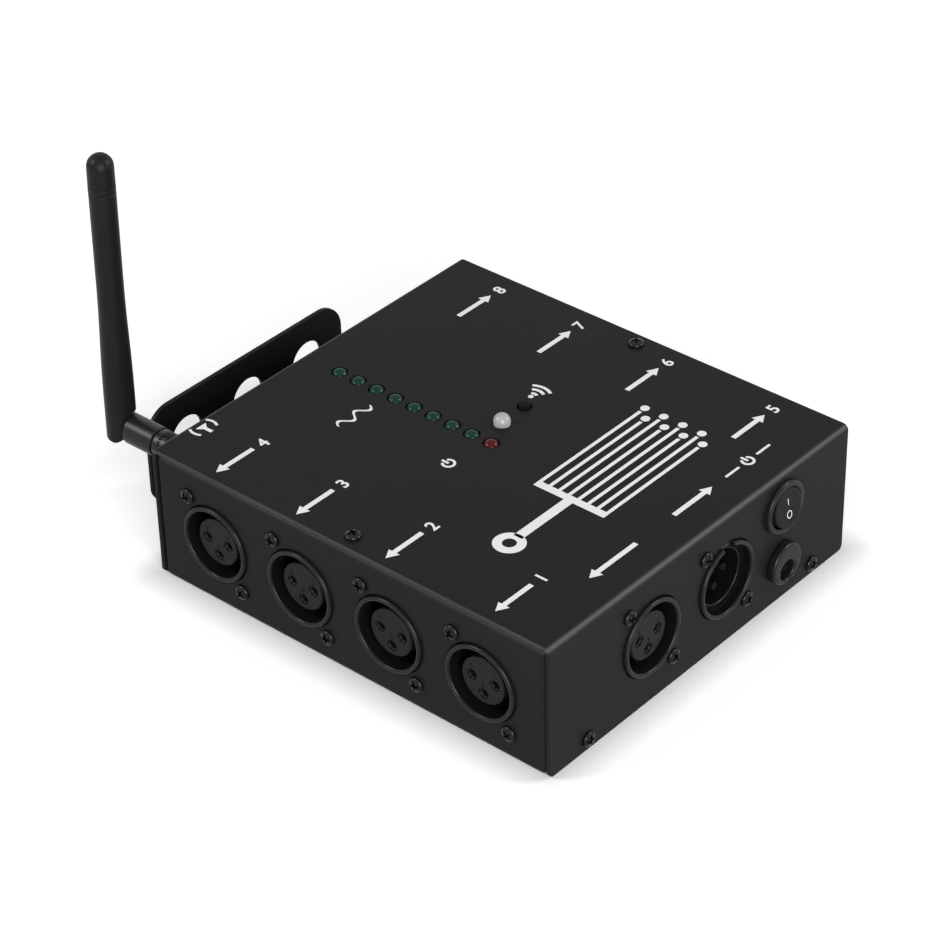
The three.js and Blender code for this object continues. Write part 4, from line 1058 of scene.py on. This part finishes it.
barrel_bm = turned([(0, 7.3), (3.1, 7.3), (3.1, 8.5), (2.4, 8.5), (2.4, 11.5), (4.45, 11.5, 0.45),
                    (4.45, 31.9, 0.3), (0, 31.9)], 80)
barrel_bm = combined(barrel_bm, lap_mask(HINGE, -1, 40), "INTERSECT")
barrel_bm = combined(barrel_bm, plate([box_outline(-8, 0.15, -8, 8)], 22.3, 40, 0.01, 1), "DIFFERENCE")
piece("barrel_moulding", barrel_bm, hinge_plastic, antenna_place, body="antenna_base",
      stands_for=["antenna_barrel"], slot="black_plastic", sharp=30)
hinge_pin_bm = turned([(0, -3.85), (0.8, -3.85, 0.2), (0.8, 3.85, 0.2), (0, 3.85)], 24)
piece("hinge_pin_turned", hinge_pin_bm, nickel, hinge_place @ Matrix.Rotation(QUARTER, 4, "Y"),
      body="antenna_base", stands_for=["antenna_hinge_pin"], slot="plated_steel")
whip_bm = turned([(0, -4.6), (4.45, -4.6, 0.8), (4.45, 19, 9), (3.84, 39, 9), (3.84, 76.05, 0.35),
                  (3.6, 76.3), (0, 76.3)], 80, 8)
whip_bm = combined(whip_bm, lap_mask(0, 1, 90), "INTERSECT")
whip_bm = combined(whip_bm, plate([box_outline(-0.15, 8, -8, 8)], -8, 4.9, 0.01, 1), "DIFFERENCE")
whip_place = hinge_place @ Matrix.Rotation(LEAN, 4, "X")
piece("whip_sleeve", whip_bm, sleeve, whip_place, body="antenna_mast",
      stands_for=["antenna_whip"], slot="whip_rubber", sharp=30)
cap_bm = turned([(0, 76.35), (3.87, 76.35, 0.2), (3.87, 78.05, 0.15), (3.7, 78.15), (3.7, 78.3),
                 (3.84, 78.4, 0.15)] + arc(3.8, 0, QUARTER, 14, 0, 84.05)[:-1] + [(0, 87.85)], 80)
piece("whip_end_cap", cap_bm, sleeve, whip_place, body="antenna_mast",
      stands_for=["antenna_whip_cap"], slot="whip_rubber", sharp=50)

# %% [markdown]
# The print on the top. The real box is lettered, and this one has plain marks in the same places:
# numbers for the eight outputs, arrows for what goes in or out, and a few common symbols. Ink from
# a screen is about 0.04 mm thick, so each mark is a very thin plate on the top.

# %% Marks
PRINT_LOW, PRINT_HIGH = HEIGHT + 0.005, HEIGHT + 0.045
FONT_PER_HEIGHT, BOLD_PER_HEIGHT = 1.42, 0.028


def printed(name, outlines):
    shapes = [plate(outline, PRINT_LOW, PRINT_HIGH, MARK_EASE, 1) for outline in outlines]
    return piece(name, joined(bmesh.new(), *shapes), ink)


def arrow(x, y, long, high, ways=1):
    """A bold arrow that starts at x, y and points right, or left when ways is -1."""
    neck, thick = long - high * 0.9, high * 0.2
    lower = [(0, -thick), (neck, -thick), (neck, -high / 2)]
    spots = lower + [(long, 0)] + [(px, -py) for px, py in reversed(lower)]
    shift = x if ways > 0 else x + long
    return [polygon(*[(shift + ways * px, y + py) for px, py in spots])]


def numeral(text, x, y, high):
    """A plain figure, laid on the top."""
    bm = figure(text, high * FONT_PER_HEIGHT, PRINT_HIGH - PRINT_LOW, BOLD_PER_HEIGHT * high)
    bm.transform(Matrix.Translation((x, y, (PRINT_LOW + PRINT_HIGH) / 2)))
    return bm


OUTPUT_MARKS = [(-61.2, -52), (-62, -15), (-62.5, 16.6), (-62, 47),
                (39.8, -52), (40, -14.6), (39.5, 17.2), (39.8, 47.8)]
for i, (x, y) in enumerate(OUTPUT_MARKS):
    printed(f"output_{i + 1}_arrow", [arrow(x, y + 1.9, 14.5, 3.8, -1 if i < 4 else 1)])
    piece(f"output_{i + 1}_number", numeral(str(i + 1), x + 17, y, 3.9), ink)

# %% Symbols


def arcs(x, y, radii, thick, start, end, steps=14):
    first, last = math.radians(start), math.radians(end)
    return [[arc(radius, first, last, steps, x, y) + arc(radius - thick, last, first, steps, x, y)]
            for radius in radii]


def power_symbol(x, y, radius, thick):
    shapes = arcs(x, y, [radius], thick, 125, 415, 30)
    shapes.append([box_outline(x - thick / 2, x + thick / 2, y, y + radius * 1.15)])
    return shapes


def wave(x, y, long, high, thick):
    steps = 48
    upper = [(x + long * i / steps, y + high * math.sin(4 * math.pi * i / steps) + thick)
             for i in range(steps + 1)]
    lower = [(px, py - 2 * thick) for px, py in upper]
    return [[polygon(*lower, *reversed(upper))]]


aerial = polygon((-49.2, 63.6), (-48.0, 63.6), (-48.0, 66.2), (-46.6, 68), (-50.6, 68), (-49.2, 66.2))
radio_waves = [arcs(-48.6, 66.9, [4.2], 0.8, middle - 35, middle + 35)[0] for middle in (0, 180)]
printed("antenna_mark", [[aerial]] + radio_waves)
printed("through_mark", [arrow(-35.1, -59.8, 19.6, 3.8, -1)])
printed("input_mark", [arrow(0.8, -59.7, 16.8, 3.8, 1)])
dashes = [[box_outline(x, x + 6, -60.2, -59.4)] for x in (23.5, 37.5)]
printed("inlet_mark", power_symbol(33.5, -59.8, 2.1, 0.8) + dashes)
printed("link_mark", arcs(20.5, 6.2, [2.2, 4.2, 6.2], 1, -35, 35) + [[ring(0.8, 20.5, 6.2, 24)]])
printed("signal_mark", wave(-24.6, 38.2, 13.4, 1.5, 0.5))
printed("power_mark", power_symbol(-18.8, 2.6, 2.1, 0.8))

# %% [markdown]
# In place of the large title there is a bold drawing of what the box does: one line comes in and is
# split into eight.

# %% Large drawing
trunk = [[box_outline(-33, -12, -35.4, -32.4)], [ring(4.6, -36.4, -33.9, 48), ring(2.0, -36.4, -33.9, 32)]]
LINES, COMB_LOW, COMB_WIDE = 8, -45.5, 23.2
comb = []
for k in range(LINES):
    y = COMB_LOW + k * COMB_WIDE / (LINES - 1)
    comb.append([box_outline(-9.5, 30 + (k % 2) * 4, y - 0.55, y + 0.55)])
    comb.append([ring(1.35, 32 + (k % 2) * 4, y, 32)])
comb.append([box_outline(-12, -9.5, -46.05, -21.75)])
printed("split_drawing", trunk + comb)

# %% [markdown]
# What is left are the pieces inside, which nobody sees in the photograph. They keep their solids and
# get their real finishes, so that an opened box looks right too.

# %% Finishes of the inner pieces
INNER = {
    "main_board": board_mask, "indicator_board": board_mask, "radio_module": nickel,
    "board_pillar_1": nickel, "board_pillar_2": nickel,
    "link_button_switch": insert_nylon, "antenna_lead": insert_nylon,
}
for name, material in INNER.items():
    mesh = frame["nodes"][name].data
    mesh.materials.clear()
    mesh.materials.append(material)
left_plain = [name for name, node in frame["nodes"].items() if not node.hide_render and name not in INNER]
print("CAD nodes without a finish:", left_plain)

# %% [markdown]
# The studio: a pale floor and three soft lamps. Two stand left and right above the object, where
# the bent edges mirror them to the camera, and a larger one stands low in front and lights both
# upright faces. The world is white to the camera and to reflections, and gives a plain fill. The
# paper glows a little to the camera, and more further out, so it runs into the white world. Beside
# the case the glow fades to nothing, which paints a darker contact shadow on top of the real one.

# %% Floor, world and lamps
floor_mesh = bpy.data.meshes.new("floor")
floor_mesh.from_pydata([(-6, -6, 0), (6, -6, 0), (6, 6, 0), (-6, 6, 0)], [], [(0, 1, 2, 3)])
floor = bpy.data.objects.new("floor", floor_mesh)
scene_objects.link(floor)
paper, paper_tree, paper_body, paper_place = surface("white_paper_floor", "#f2f2f2", Roughness=0.9)


def vector_maths(operation, *values):
    return add(paper_tree, "ShaderNodeVectorMath", dict(enumerate(values)), operation=operation).outputs


away = vector_maths("LENGTH", paper_place)["Value"]
beside = vector_maths("ABSOLUTE", paper_place)[0]
beside = vector_maths("SUBTRACT", beside, (HALF_W * MM, HALF_D * MM, 0))[0]
beside = vector_maths("MAXIMUM", beside, (0, 0, 0))[0]
beside = vector_maths("LENGTH", beside)["Value"]
# Painted shadow: the glow is withheld within 9.5 mm of the case's footprint, so the floor there is darker.
painted_shadow_glow = ranged(paper_tree, beside, (0, 9.5 * MM), (0, 0.35))
far_glow = ranged(paper_tree, away, (0.35, 1.3), (0, 0.65))
rays = add(paper_tree, "ShaderNodeLightPath").outputs
glow = maths(paper_tree, "MULTIPLY", rays["Is Camera Ray"], maths(paper_tree, "ADD", painted_shadow_glow, far_glow))
paper_body.inputs["Emission Color"].default_value = (1, 1, 1, 1)
paper_tree.links.new(glow, paper_body.inputs["Emission Strength"])
floor_mesh.materials.append(paper)

world = bpy.data.worlds.new("studio")
world.use_nodes = True
bpy.context.scene.world = world
sky = world.node_tree
sky.nodes.clear()
seen = add(sky, "ShaderNodeLightPath").outputs
shown = maths(sky, "MAXIMUM", seen["Is Camera Ray"], seen["Is Glossy Ray"])
shown = maths(sky, "MAXIMUM", shown, seen["Is Transmission Ray"])
level = ranged(sky, shown, (0, 1), (0.2, 1))
background = add(sky, "ShaderNodeBackground", {"Color": (1, 1, 1, 1), "Strength": level})
add(sky, "ShaderNodeOutputWorld", {"Surface": background.outputs[0]})


def softbox(name, direction, distance, size, power):
    data = bpy.data.lights.new(name, "AREA")
    data.shape, data.size, data.energy = "SQUARE", size, power
    light = bpy.data.objects.new(name, data)
    centre = Vector((0, 0, 0.02))
    light.location = centre + Vector(direction).normalized() * distance
    light.rotation_euler = (centre - light.location).to_track_quat("-Z", "Y").to_euler()
    scene_objects.link(light)


softbox("left_softbox", (-0.565, 0.55, 0.615), 1.1, 0.4, 5.2)
softbox("right_softbox", (0.615, -0.565, 0.55), 1.1, 0.4, 5.2)
softbox("front_softbox", (-0.6, -0.74, 0.3), 1.3, 0.8, 16.5)
